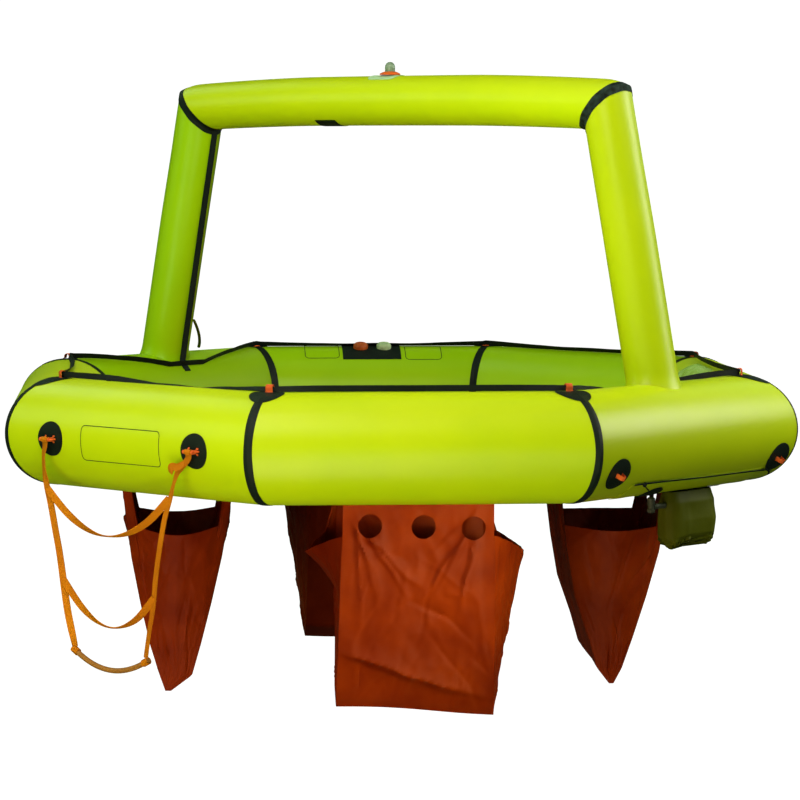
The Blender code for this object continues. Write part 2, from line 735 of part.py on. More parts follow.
def boarding_ladder():
    """The webbing ladder, its bottom rung, and the patches and bars that carry it."""
    tube = TUBES["front_left"]
    middle = 0.5 * tube.length
    origin = tube.start + tube.along * middle + Z * LADDER_Z + tube.out * (TUBE_R + LADDER_OUT)
    for side, reach in zip(("left", "right"), LADDER_ENDS):
        round_patch(f"ladder_patch_{side}", tube, middle + reach, math.degrees(LADDER_Z / TUBE_R), SIDE_PATCH_R)
        bar_staple(f"ladder_staple_{side}", tube, middle + reach)
    frame = (origin, tube.along, Z, tube.out)
    rung = sag((-0.1720, -0.5640), (-0.0290, -0.6110), (0.1190, -0.5680), 14)
    left = [(-0.2790, -0.0050), (-0.2800, -0.0190), (-0.2855, -0.0460), (-0.2830, -0.0850), (-0.2730, -0.1254)]
    left += [(-0.2575, -0.1750), (-0.2395, -0.2467), (-0.2220, -0.3168), (-0.1995, -0.4359), (-0.1865, -0.4900)]
    right = [(0.2690, -0.0050), (0.2677, -0.0180), (0.2480, -0.0380), (0.2290, -0.0560), (0.2150, -0.0860)]
    right += [(0.2010, -0.1290), (0.1800, -0.1850), (0.1610, -0.2650), (0.1460, -0.3450), (0.1360, -0.4230)]
    right += [(0.1200, -0.4950)]
    bands = []
    for strap, x, ends in ((left, -0.1600, (0, 1)), (right, 0.1070, (-1, -2))):
        first, second = Vector(rung[ends[0]]), Vector(rung[ends[1]])
        ahead = (second - first).normalized() * (1.0 if ends[0] == 0 else -1.0)
        spot = first.lerp(second, (x - first.x) / (second.x - first.x))
        above = Vector((-ahead.y, ahead.x))
        strap += [tuple(spot + above * 0.040), tuple(spot + above * (RUNG_R + 0.0018))]
        axis = (tube.along * ahead.x + Z * ahead.y).normalized()
        centre = origin + tube.along * spot.x + Z * spot.y
        bands.append(ring_band(centre, axis, RUNG_R + 0.0005, RUNG_R + 0.0030, EYE_WIDE))
    upper = sag((-0.2690, -0.1340), (-0.0350, -0.2475), (0.1990, -0.1280), 12)
    lower = sag((-0.2110, -0.3760), (-0.0320, -0.4940), (0.1410, -0.4000), 10)
    pieces = [ribbon(upper, WEB_WIDE, WEB_THICK * 0.8, *frame)]
    pieces += [ribbon(left, WEB_WIDE, WEB_THICK, *frame), ribbon(right, WEB_WIDE, WEB_THICK, *frame)]
    pieces += [ribbon(lower, WEB_WIDE, WEB_THICK * 0.8, *frame), *bands]
    for reach in LADDER_ENDS:
        pieces.append(ring_band(origin + tube.along * reach, tube.along, EYE_IN, EYE_OUT, EYE_WIDE))
    joined("ladder_webbing", "webbing", pieces)
    rings = []
    for i, spot in enumerate(rung):
        before, after = rung[max(i - 1, 0)], rung[min(i + 1, len(rung) - 1)]
        ahead = Vector(after) - Vector(before)
        axis = (tube.along * ahead.x + Z * ahead.y).normalized()
        up = axis.cross(tube.out).normalized()
        rings.append(circle(origin + tube.along * spot[0] + Z * spot[1], up, tube.out, RUNG_R, 12))
    finish(loft(rings), "ladder_bottom_rung", "tan")


def gas_bag():
    """The gas cylinder's bag under the front right segment, its head and the flap over it."""
    tube = TUBES["front_right"]
    lowest = AXIS_Z - TUBE_R
    middle = tube.start + tube.along * 0.4917
    rings = []
    levels = ((-0.0005, 0.099, 0.026), (-0.030, 0.104, 0.040), (-0.080, 0.105, 0.046))
    levels += ((-0.130, 0.102, 0.043), (-0.155, 0.098, 0.033), (-0.163, 0.090, 0.018))
    for depth, half, thick in levels:
        ring = []
        for i in range(24):
            turn = 2.0 * math.pi * i / 24
            x = half * math.copysign(abs(math.cos(turn)) ** 0.45, math.cos(turn))
            y = thick * math.copysign(abs(math.sin(turn)) ** 0.8, math.sin(turn))
            spot = middle + tube.along * x + tube.out * (0.030 + y)
            ring.append(Vector((spot.x, spot.y, lowest + depth)))
        rings.append(ring)
    finish(loft(rings), "gas_bag", "olive")
    start = middle - tube.along * (0.1045 + GAP + 0.0002) + tube.out * 0.030
    start.z = lowest - 0.036
    neck = ((0.0, 0.012), (0.006, 0.012), (0.008, 0.008), (0.056, 0.008))
    rings = [circle(start - tube.along * d, tube.out, Z, r, 16) for d, r in neck]
    body = ((-0.009, 0.009), (-0.012, 0.0118), (-0.030, 0.0118), (-0.031, 0.010), (-0.040, 0.010))
    body += ((-0.041, 0.0118), (-0.049, 0.0118), (-0.052, 0.009))
    foot = start - tube.along * 0.0605
    stack = [circle(Vector((foot.x, foot.y, lowest + h)), tube.out, tube.along, r, 16) for h, r in body]
    joined("inflation_head", "metal", [loft(stack), loft(rings)])
    tube_patch("pocket_flap", tube, (0.130, 0.748), (-78.0, -43.0), 0.0030, "lime", rows=6, cols=8)


def inside_fittings():
    """The valve patch with its caps, the pouch and the small hose."""
    tube = TUBES["back"]
    length = tube.length
    tube_patch("valve_patch", tube, (length - 0.4665, length - 0.279), (86.0, 131.0), 0.0012, "black", rows=8, cols=4)
    for name, distance, key in (("relief", 0.339, "cap_orange"), ("topping", 0.414, "cap_green")):
        degrees = 105.0
        normal = tube.normal(degrees)
        seat = TUBE_R + GAP + 0.0003 + 0.0012 + 0.0004
        foot = tube.at(length - distance, degrees, seat)
        up = normal.cross(tube.along)
        profile = ((0.0, 0.019), (0.009, 0.019), (0.013, 0.016), (0.0145, 0.010))
        rings = [circle(foot + normal * h, tube.along, up, r, 20) for h, r in profile]
        finish(loft(rings), f"valve_cap_{name}", key)
    tube = TUBES["right"]

    def puff(a, b):
        return 0.012 * (math.sin(math.pi * a) * math.sin(math.pi * b)) ** 0.6 if 0 < a < 1 and 0 < b < 1 else 0.0

    tube_patch("pouch", tube, (0.27, 0.55), (104.0, 140.0), 0.0015, "pouch", rows=8, cols=10, lift=puff)
    route = (Vector((-0.5765, 0.650, 0.380)), Vector((-0.5600, 0.680, 0.345)))
    route += (Vector((-0.5540, 0.730, 0.312)), Vector((-0.5600, 0.785, 0.2885)))
    curve = bpy.data.curves.new("hose", "CURVE")
    curve.dimensions = "3D"
    curve.bevel_depth = 0.0035
    curve.bevel_resolution = 2
    curve.use_fill_caps = True
    spline = curve.splines.new("POLY")
    count = 13
    spline.points.add(count - 1)
    for i in range(count):
        t = i / (count - 1)
        weights = ((1 - t) ** 3, 3 * t * (1 - t) ** 2, 3 * t * t * (1 - t), t**3)
        spot = sum((p * w for p, w in zip(route, weights)), Vector())
        spline.points[i].co = (*spot, 1.0)
    hose = bpy.data.objects.new("arch_hose", curve)
    curve.materials.append(material("olive"))
    bpy.context.collection.objects.link(hose)


def build():
    """Build every piece of the raft."""
    for thing in list(bpy.data.objects):
        bpy.data.objects.remove(thing)
    ring_of_tubes()
    floor()
    across = arch()
    lamp(across)
    ballast_bags()
    lifeline()
    corner_loops()
    side_patches()
    boarding_ladder()
    gas_bag()
    inside_fittings()


if __name__ == "__main__":
    build()
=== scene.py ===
"""Looks of an eight-sided inflatable life raft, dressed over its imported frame.

Metres, +Z up, the origin on the waterline at the raft's middle, -Y the front.
"""
import logging
import math
import random
from collections.abc import Callable, Sequence
from dataclasses import dataclass, field
from enum import Enum

import bpy
from mathutils import Matrix, Vector, noise


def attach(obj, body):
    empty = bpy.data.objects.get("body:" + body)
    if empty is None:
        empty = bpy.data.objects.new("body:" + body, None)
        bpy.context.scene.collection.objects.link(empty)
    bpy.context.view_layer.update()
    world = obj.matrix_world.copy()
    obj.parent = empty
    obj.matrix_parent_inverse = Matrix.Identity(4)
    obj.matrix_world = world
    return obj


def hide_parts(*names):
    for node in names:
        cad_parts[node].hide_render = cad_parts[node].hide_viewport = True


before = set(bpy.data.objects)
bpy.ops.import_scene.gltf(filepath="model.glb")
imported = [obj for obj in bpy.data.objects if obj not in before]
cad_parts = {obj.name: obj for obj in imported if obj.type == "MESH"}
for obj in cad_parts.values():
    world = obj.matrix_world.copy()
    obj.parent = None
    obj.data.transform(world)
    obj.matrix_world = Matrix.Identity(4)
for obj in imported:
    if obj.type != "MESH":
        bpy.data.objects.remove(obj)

log = logging.getLogger("raft")
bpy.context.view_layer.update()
UP = Vector((0.0, 0.0, 1.0))
TAU = 2.0 * math.pi
Colour = tuple[float, float, float]
Piece = bpy.types.Object
Place = Callable[[float, float], Vector]
Aim = Callable[[Vector], Vector]
Mark = tuple[float, float]
Marks = Sequence[Mark]
# The thickness of cloth and of patches, and the distance under which points are merged
CLOTH, PATCH, MERGE = 0.0012, 0.0013, 0.00002


def circle(turn: float, first: Vector, second: Vector) -> Vector:
    """Give the direction at an angle from one of two square directions towards the other."""
    return math.cos(turn) * first + math.sin(turn) * second


def pick(marks: Sequence, share: float) -> object:
    """Give the mark at a share of the way through a row of them."""
    return marks[round(share * (len(marks) - 1))]


def heading(points: Sequence[Vector], i: int) -> Vector:
    """Give the direction of a path at one of its points."""
    return (points[min(i + 1, len(points) - 1)] - points[max(i - 1, 0)]).normalized()


def clamp(value: float, low: float = 0.0, high: float = 1.0) -> float:
    """Keep a value between two limits."""
    return min(max(value, low), high)


def ease(share: float) -> float:
    """Give a share from 0 to 1 a soft start and a soft stop."""
    return share * share * (3.0 - 2.0 * share)


def ripple(x: float, y: float, z: float) -> float:
    """Give the smooth noise at a place."""
    return noise.noise(Vector((x, y, z)))


class Grain(Enum):
    """The small relief of a surface."""

    WEAVE = "crossed threads under a coat"
    WEBBING = "ribs of a woven strap"
    FILM = "crinkled film"
    MOULDED = "moulded plastic"
    BRUSHED = "brushed metal"
    STAGE = "studio floor"


@dataclass(frozen=True)
class Finish:
    """A finish: its colours, gloss and grain, made into a node material once."""

    name: str
    slot: str
    colour: Colour
    worn: Colour
    roughness: float
    grain: Grain
    relief: float = 0.15
    pitch: float = 0.0014
    mottle: float = 5.0
    metallic: float = 0.0
    transmission: float = 0.0
    gloss: float = 0.2
    light: float = 0.0
    depth: float = 0.0006
    cloud_range: Mark = (0.35, 0.75)
    rub_range: Mark = (-0.05, 0.07)
    wave_length: float = 0.314

    def material(self) -> bpy.types.Material:
        """Make or find the node material.

        Returns:
            The material of this finish.
        """
        title = f"finish_{self.name}"
        found = bpy.data.materials.get(title)
        if found:
            return found
        made = bpy.data.materials.new(title)
        made.use_nodes = True
        tree = made.node_tree
        shader = tree.nodes["Principled BSDF"]
        settings = {"Metallic": self.metallic, "Specular IOR Level": self.gloss,
                    "Transmission Weight": self.transmission}
        if self.light:
            settings |= {"Emission Color": (1.0, 1.0, 1.0, 1.0), "Emission Strength": self.light}
        for socket, value in settings.items():
            shader.inputs[socket].default_value = value
        coords = tree.nodes.new("ShaderNodeTexCoord")
        solid = coords.outputs["Object"]
        cloud = self._noise(tree, solid, self.mottle, 4.0)
        low, high = self.cloud_range
        spread = self._node(tree, "MapRange", {"From Min": low, "From Max": high}, {"Value": cloud})
        mixed = self._node(tree, "Mix", {6: (*self.colour, 1.0), 7: (*self.worn, 1.0)},
                           {0: spread.outputs["Result"]}, data_type="RGBA")
        rubbed = self._noise(tree, solid, self.mottle * 6.0, 3.0)
        low, high = (clamp(self.roughness + change, 0.02, 1.0) for change in self.rub_range)
        rub = self._node(tree, "MapRange", {"To Min": low, "To Max": high}, {"Value": rubbed})
        bump = self._node(tree, "Bump", {"Strength": self.relief, "Distance": self.depth},
                          {"Height": self._height(tree, coords)})
        tree.links.new(mixed.outputs[2], shader.inputs["Base Color"])
        tree.links.new(rub.outputs["Result"], shader.inputs["Roughness"])
        tree.links.new(bump.outputs["Normal"], shader.inputs["Normal"])
        return made

    @staticmethod
    def _node(tree: bpy.types.NodeTree, kind: str, values: dict, links: dict,
              **settings: str) -> bpy.types.Node:
        """Add a node.

        Args:
            tree: The material's node tree.
            kind: The node's type without its prefix.
            values: The constants on its input sockets.
            links: The output sockets that feed its input sockets.
            settings: Its other properties.

        Returns:
            The node.
        """
        node = tree.nodes.new(f"ShaderNode{kind}")
        for key, value in settings.items():
            setattr(node, key, value)
        for key, value in values.items():
            node.inputs[key].default_value = value
        for key, socket in links.items():
            tree.links.new(socket, node.inputs[key])
        return node

    def _noise(self, tree: bpy.types.NodeTree, vector: bpy.types.NodeSocket, scale: float, detail: float):
        """Add a noise texture and return its factor socket."""
        values = {"Scale": scale, "Detail": detail}
        return self._node(tree, "TexNoise", values, {"Vector": vector}).outputs["Fac"]

    def _wave(self, tree: bpy.types.NodeTree, vector: bpy.types.NodeSocket, direction: str, pitch: float):
        """Add a band wave with this pitch in metres and return its factor socket."""
        values = {"Scale": self.wave_length / pitch, "Distortion": 0.6, "Detail": 1.0}
        settings = {"wave_type": "BANDS", "bands_direction": direction}
        return self._node(tree, "TexWave", values, {"Vector": vector}, **settings).outputs["Fac"]

    def _height(self, tree: bpy.types.NodeTree, coords: bpy.types.Node):
        """Add the grain's nodes.

        Args:
            tree: The material's node tree.
            coords: Its texture coordinate node.

        Returns:
            The socket that holds the grain's height.
        """
        flat, solid = coords.outputs["UV"], coords.outputs["Object"]
        if self.grain is Grain.WEAVE:
            pair = self._wave(tree, flat, "X", self.pitch), self._wave(tree, flat, "Y", self.pitch)
        elif self.grain is Grain.WEBBING:
            pair = (self._wave(tree, flat, "X", self.pitch),
                    self._wave(tree, flat, "DIAGONAL", self.pitch * 1.4))
        elif self.grain is Grain.FILM:
            pair = self._noise(tree, solid, 60.0, 5.0), self._noise(tree, solid, 180.0, 3.0)
        elif self.grain is Grain.BRUSHED:
            pair = self._wave(tree, solid, "Z", 0.0006), self._noise(tree, solid, 300.0, 2.0)
        else:
            pair = self._noise(tree, solid, 420.0, 2.0), self._noise(tree, solid, 90.0, 3.0)
        return self._node(tree, "Math", {}, {0: pair[0], 1: pair[1]}, operation="ADD").outputs["Value"]


BLACK = (0.0045, 0.0085, 0.0065)
LIME = Finish("lime_fabric", "lime_fabric", (0.46, 0.62, 0.001), (0.42, 0.59, 0.001), 0.33, Grain.WEAVE, 0.05,
              gloss=0.26)
TAPE = Finish("black_tape", "black_tape", BLACK, (0.008, 0.015, 0.012), 0.48, Grain.WEAVE, 0.25, gloss=0.12)
TAPE_KNIT = Finish("knit_tape", "black_tape", BLACK, (0.030, 0.065, 0.055), 0.55, Grain.WEAVE, 0.8,
                   mottle=60.0, gloss=0.12)
LINE = Finish("black_webbing", "black_tape", BLACK, (0.008, 0.013, 0.011), 0.62, Grain.WEBBING, 0.5, 0.0022,
              gloss=0.12)
INK = Finish("label_ink", "black_tape", (0.02, 0.05, 0.01), (0.03, 0.06, 0.01), 0.6, Grain.MOULDED, 0.05)
BAG = Finish("bag_fabric", "bag_fabric", (0.36, 0.038, 0.0007), (0.22, 0.017, 0.0003), 0.42, Grain.WEAVE,
             0.25, mottle=8.0, gloss=0.12)
FLOOR = Finish("floor_fabric", "floor_fabric", (0.30, 0.052, 0.010), (0.24, 0.038, 0.008), 0.5, Grain.WEAVE,
               0.2)
LOOP = Finish("loop_webbing", "orange_loop", (0.80, 0.14, 0.020), (0.62, 0.085, 0.014), 0.6, Grain.WEBBING,
              0.6, 0.0018)
STRAP = Finish("ladder_webbing", "ladder_web", (0.56, 0.185, 0.004), (0.40, 0.11, 0.003), 0.65, Grain.WEBBING,
               0.8, 0.0022, gloss=0.06)
RUNG = Finish("rung_tan", "rung_tan", (0.34, 0.15, 0.030), (0.22, 0.09, 0.02), 0.35, Grain.MOULDED, 0.1)
OLIVE = Finish("olive_fabric", "olive_fabric", (0.085, 0.105, 0.004), (0.055, 0.065, 0.003), 0.5, Grain.FILM,
               0.5, gloss=0.06)
HEAD = Finish("head_metal", "head_metal", (0.070, 0.085, 0.060), (0.045, 0.055, 0.04), 0.5, Grain.BRUSHED,
              0.2, metallic=0.3)
MINT = Finish("lamp_mint", "lamp_mint", (0.42, 0.66, 0.40), (0.36, 0.58, 0.34), 0.55, Grain.WEAVE, 0.3)
BASE = Finish("lamp_orange", "lamp_orange", (0.66, 0.12, 0.01), (0.5, 0.08, 0.01), 0.35, Grain.MOULDED, 0.1)
BULB = Finish("lamp_clear", "lamp_clear", (0.24, 0.36, 0.25), (0.16, 0.26, 0.17), 0.2, Grain.MOULDED, 0.05,
              transmission=0.3)
CAP = Finish("cap_green", "cap_green", (0.40, 0.54, 0.30), (0.30, 0.42, 0.22), 0.4, Grain.MOULDED, 0.15)
CAP_ORANGE = Finish("cap_orange", "lamp_orange", (0.42, 0.085, 0.012), (0.32, 0.06, 0.01), 0.4, Grain.MOULDED,
                    0.15)
POUCH = Finish("pouch_film", "pouch_clear", (0.30, 0.52, 0.06), (0.46, 0.70, 0.20), 0.25, Grain.FILM, 1.0,
               mottle=26.0)
STAGE = Finish("studio_floor", "", (0.42, 0.42, 0.42), (0.40, 0.40, 0.40), 0.9, Grain.STAGE, 0.0, gloss=0.0,
               light=1.06)


class Shop:
    """Hand work on meshes with Blender's own operators."""

    @staticmethod
    def only(piece: Piece) -> None:
        """Select one object alone and make it active."""
        bpy.ops.object.select_all(action="DESELECT")
        piece.select_set(True)
        bpy.context.view_layer.objects.active = piece

    @staticmethod
    def edit(piece: Piece) -> None:
        """Open a piece in edit mode with everything in it selected."""
        Shop.only(piece)
        bpy.ops.object.mode_set(mode="EDIT")
        bpy.ops.mesh.select_all(action="SELECT")

    @staticmethod
    def close() -> None:
        """Leave edit mode."""
        bpy.ops.object.mode_set(mode="OBJECT")

    @staticmethod
    def named(name: str) -> Piece:
        """Name the object that was just added, and give it."""
        piece = bpy.context.object
        piece.name = piece.data.name = name
        return piece

    @staticmethod
    def scale_uv(piece: Piece, wide: float, high: float) -> None:
        """Stretch the piece's UV map to metres, so that a weave has one size everywhere."""
        for loop in piece.data.uv_layers[0].data:
            loop.uv = (loop.uv[0] * wide, loop.uv[1] * high)

    @staticmethod
    def grid(name: str, columns: int, rows: int, place: Place, size: Mark) -> Piece:
        """Lay a grid over a surface.

        Args:
            name: The piece's name.
            columns: Faces along u.
            rows: Faces along v.
            place: The point of the surface for u and v from 0 to 1.
            size: The sheet's real width and height in metres.

        Returns:
            The laid sheet, with doubled edges merged.
        """
        bpy.ops.mesh.primitive_grid_add(x_subdivisions=columns, y_subdivisions=rows, size=1.0)
        piece = Shop.named(name)
        for vertex in piece.data.vertices:
            vertex.co = place(vertex.co.x + 0.5, vertex.co.y + 0.5)
        Shop.scale_uv(piece, *size)
        Shop.edit(piece)
        bpy.ops.mesh.remove_doubles(threshold=MERGE)
        Shop.close()
        return piece

    @staticmethod
    def drum(name: str, around: int, cuts: int, place: Place, size: Mark) -> Piece:
        """Shape a closed drum: a cylinder whose wall is cut into hoops.

        Args:
            name: The piece's name.
            around: Faces round the drum.
            cuts: Hoops added between the two ends.
            place: The point for an angle and a share of the height.
            size: The real distance round and along in metres.

        Returns:
            The closed drum, its faces turned outward.
        """
        bpy.ops.mesh.primitive_cylinder_add(vertices=around, radius=1.0, depth=1.0)
        piece = Shop.named(name)
        bpy.ops.object.mode_set(mode="EDIT")
        bpy.ops.mesh.select_all(action="DESELECT")
        Shop.close()
        for edge in piece.data.edges:
            a, b = (piece.data.vertices[i].co.z for i in edge.vertices)
            edge.select = abs(a - b) > 0.5
        bpy.ops.object.mode_set(mode="EDIT")
        bpy.ops.mesh.select_mode(type="EDGE")
        bpy.ops.mesh.subdivide(number_cuts=cuts)
        Shop.close()
        for vertex in piece.data.vertices:
            vertex.co = place(math.atan2(vertex.co.y, vertex.co.x) % TAU, vertex.co.z + 0.5)
        Shop.scale_uv(piece, size[0], 2.0 * size[1])
        Shop.recalculate(piece)
        return piece

    @staticmethod
    def lathe(name: str, around: int, profile: Marks, foot: Vector, axes: tuple[Vector, Vector, Vector],
              cut: Callable[[float, float, float], float]) -> Piece:
        """Turn a small fitting.

        Args:
            name: The piece's name.
            around: Faces round it.
            profile: Its marks of radius and height.
            foot: The point that the heights start from.
            axes: Two square directions across it, and the one that it stands in.
            cut: How deep its ribs or flats go, for an angle, a radius and a height.

        Returns:
            The closed fitting.
        """
        def place(turn: float, share: float) -> Vector:
            radius, high = pick(profile, share)
            return foot + axes[2] * high + (radius - cut(turn, radius, high)) * circle(turn, axes[0], axes[1])

        return Shop.drum(name, around, len(profile) - 2, place, (0.12, 0.03))

    @staticmethod
    def disc(name: str, around: int, place: Place, size: float) -> Piece:
        """Lay a round patch over a surface, given as a function of x and y from -1 to 1."""
        bpy.ops.mesh.primitive_circle_add(vertices=around, radius=1.0, fill_type="TRIFAN")
        piece = Shop.named(name)
        Shop.edit(piece)
        bpy.ops.mesh.subdivide(number_cuts=3)
        Shop.close()
        for vertex in piece.data.vertices:
            vertex.co = place(vertex.co.x, vertex.co.y)
        Shop.scale_uv(piece, 2.0 * size, 2.0 * size)
        return piece

    @staticmethod
    def turn_out(piece: Piece, outward: Aim) -> None:
        """Flip a sheet whose faces look the wrong way.

        Args:
            piece: The sheet.
            outward: Gives the direction that a face at a point should look in.
        """
        score = sum(face.normal.dot(outward(face.center)) * face.area for face in piece.data.polygons)
        if score < 0.0:
            Shop.edit(piece)
            bpy.ops.mesh.flip_normals()
            Shop.close()

    @staticmethod
    def apply(piece: Piece, kind: str, **settings: object) -> None:
        """Add one modifier with its settings and apply it."""
        Shop.only(piece)
        modifier = piece.modifiers.new(kind.lower(), kind)
        for key, value in settings.items():
            setattr(modifier, key, value)
        bpy.ops.object.modifier_apply(modifier=modifier.name)

    @staticmethod
    def combine(piece: Piece, other: Piece, operation: str) -> None:
        """Add another solid to a piece or cut it out of it, and drop the other."""
        Shop.apply(piece, "BOOLEAN", operation=operation, solver="EXACT", object=other)
        bpy.data.objects.remove(other)

    @staticmethod
    def thicken(piece: Piece, thickness: float, outward: Aim, offset: float = 1.0) -> None:
        """Give a sheet its thickness on the side that it faces."""
        Shop.turn_out(piece, outward)
        Shop.apply(piece, "SOLIDIFY", thickness=thickness, offset=offset, use_even_offset=False)

    @staticmethod
    def recalculate(piece: Piece) -> None:
        """Merge doubles and turn every face of a closed piece outward."""
        Shop.edit(piece)
        bpy.ops.mesh.remove_doubles(threshold=MERGE)
        bpy.ops.mesh.normals_make_consistent(inside=False)
        Shop.close()

    @staticmethod
    def join(name: str, parts: Sequence[Piece]) -> Piece:
        """Join several pieces into one object with this name."""
        Shop.only(parts[0])
        for part in parts:
            part.select_set(True)
        bpy.ops.object.join()
        return Shop.named(name)


@dataclass
class Bend:
    """A corner where two equal tubes meet on their bisecting plane."""

    point: Vector
    back: Vector
    ahead: Vector
    side: Vector

    def __post_init__(self) -> None:
        """Work out the arms, the inside and the bisecting plane."""
        self.arms = ((self.back - self.point).normalized(), (self.ahead - self.point).normalized())
        self.inside = (self.arms[0] + self.arms[1]).normalized()
        self.plane = (self.arms[0] - self.arms[1]).normalized()

    def outward(self, arm: int) -> Vector:
        """Give the direction square to an arm, away from the inside of the bend."""
        along = self.arms[arm]
        return -(self.inside - self.inside.dot(along) * along).normalized()

    def at(self, arm: int, turn: float, radius: float, past: float = 0.0) -> Vector:
        """Give a point on an arm's surface.

        Args:
            arm: 0 for the arm behind the corner, 1 for the one ahead.
            turn: The angle round the tube from its outward side.
            radius: The distance from the tube's axis.
            past: The distance from the bisecting plane along the arm.

        Returns:
            The point.
        """
        along, out = self.arms[arm], self.outward(arm)
        slope = out.dot(self.plane) / along.dot(self.plane)
        reach = past - radius * math.cos(turn) * slope
        return self.point + radius * circle(turn, out, self.side) + reach * along

    def over(self, turn: float, radius: float, across: float) -> Vector:
        """Give a point on the surface by its distance across the mitre, below 0 behind the corner."""
        return self.at(0, turn, radius, -across) if across < 0.0 else self.at(1, turn, radius, across)

    def away(self, spot: Vector) -> Vector:
        """Give the direction from the nearer arm's axis to a spot."""
        reach = spot - self.point
        arm = max(self.arms, key=reach.dot)
        return reach - reach.dot(arm) * arm


@dataclass
class Tube:
    """A straight stretch of the ring."""

    start: Vector
    end: Vector

    def __post_init__(self) -> None:
        """Work out the direction, the outward side and the length."""
        self.along = (self.end - self.start).normalized()
        self.out = self.along.cross(UP)
        self.length = (self.end - self.start).length

    def normal(self, degrees: float) -> Vector:
        """Give the surface normal at degrees up from the outward side."""
        return circle(math.radians(degrees), self.out, UP)

    def at(self, distance: float, degrees: float, radius: float) -> Vector:
        """Give the point at a distance along, degrees up and radius off the axis."""
        return self.start + distance * self.along + radius * self.normal(degrees)

    def away(self, spot: Vector) -> Vector:
        """Give the direction from the tube's axis to a spot."""
        reach = spot - self.start
        return reach - reach.dot(self.along) * self.along


@dataclass
class Layout:
    """The places that the sub-assemblies share, as the frame has them."""

    side: float = 0.80
    back_side: float = 0.752
    radius: float = 0.1485
    axis_z: float = 0.1285
    gap: float = 0.0003
    corners: dict[str, float] = field(default_factory=lambda: {
        "front_left": 247.5, "front_right": 292.5, "right_front": 337.5, "right_back": 22.5,
        "back_right": 67.5, "back_left": 112.5, "left_back": 157.5, "left_front": 202.5,
    })
    segments: tuple[str, ...] = (
        "front", "front_right", "right", "back_right", "back", "back_left", "left", "front_left",
    )

    def __post_init__(self) -> None:
        """Place the corners and the stretches between them."""
        reach = self.side / (2.0 * math.sin(math.pi / 8.0))
        points = {}
        for name, degrees in self.corners.items():
            turn = math.radians(degrees)
            points[name] = Vector((reach * math.cos(turn), reach * math.sin(turn), self.axis_z))
        points["back_right"].x = 0.5 * self.back_side
        points["back_left"].x = -0.5 * self.back_side
        self.names = list(points)
        self.bends = {}
        self.tubes = {}
        for i, (name, segment) in enumerate(zip(self.names, self.segments)):
            before, ahead = points[self.names[i - 1]], points[self.names[(i + 1) % len(points)]]
            self.bends[name] = Bend(points[name], before, ahead, UP)
            self.tubes[segment] = Tube(points[name], ahead)


@dataclass
class SubAssembly:
    """A group of pieces that are made and dressed together."""

    layout: Layout
    body: str = "raft"
    pieces: list[Piece] = field(default_factory=list)

    def dress(self, piece: Piece, finish: Finish, nodes: Sequence[str] = (), smooth: float = 40.0) -> Piece:
        """Give a piece its finish and body, and hide the CAD solids that it stands for.

        Args:
            piece: The piece, in place.
            finish: Its finish.
            nodes: The CAD nodes that it replaces.
            smooth: The angle in degrees under which its faces are shaded as one.

        Returns:
            The piece.
        """
        piece.data.materials.clear()
        piece.data.materials.append(finish.material())
        for face in piece.data.polygons:
            face.material_index = 0
        Shop.only(piece)
        bpy.ops.object.shade_smooth_by_angle(angle=math.radians(smooth))
        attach(piece, self.body)
        if nodes:
            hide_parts(*nodes)
        self.pieces.append(piece)
        log.info("%s: %d faces, %s", piece.name, len(piece.data.polygons), finish.name)
        return piece

    def lay(self, piece: Piece, thickness: float, outward: Aim, finish: Finish, nodes: Sequence[str] = (),
            offset: float = 1.0) -> Piece:
        """Give a sheet its thickness and dress it."""
        Shop.thicken(piece, thickness, outward, offset)
        return self.dress(piece, finish, nodes)

    def patch(self, name: str, tube: Tube, spot: Mark, radius: float, level: float,
              nodes: Sequence[str] = ()) -> Piece:
        """Lay a round black patch on a tube of the ring."""
        turn = math.degrees(1.0 / self.layout.radius)

        def place(x: float, y: float) -> Vector:
            return tube.at(spot[0] + radius * x, spot[1] + turn * radius * y, self.layout.radius + level)

        return self.lay(Shop.disc(name, 48, place, radius), PATCH, tube.away, TAPE, nodes)

    def strap_loop(self, name: str, foot: Vector, normal: Vector, across: Vector, wide: float, inner: float,
                   high: float, nodes: Sequence[str], thick: float = 0.0016, waist: float = 0.10) -> Piece:
        """Bend a short strap over what passes through it, with both feet on the patch."""
        along = normal.cross(across).normalized()
        half = 0.5 * (inner + 0.002)
        leg = [(-half - 0.006, 0.0003), (-half - 0.002, 0.0006), (-half, 0.004), (-half, high - half)]
        crown = [(-half * math.cos(turn), high - half + half * math.sin(turn))
                 for turn in (0.35, 0.8, 1.2, 1.57, 1.94, 2.34, 2.79)]
        path = leg + crown + [(-x, y) for x, y in reversed(leg)]
        points = [foot + across * x + normal * y for x, y in path]

        def place(u: float, v: float) -> Vector:
            narrow = 1.0 - waist * math.sin(math.pi * u)
            return pick(points, u) + along * (wide * narrow * (v - 0.5))

        piece = Shop.grid(name, len(points) - 1, 4, place, (0.08, wide))
        centre = foot + normal * 0.4 * high
        Shop.thicken(piece, thick, lambda p: p - centre, 0.0)
        Shop.apply(piece, "SUBSURF", levels=1, render_levels=1)
        return self.dress(piece, LOOP, nodes)


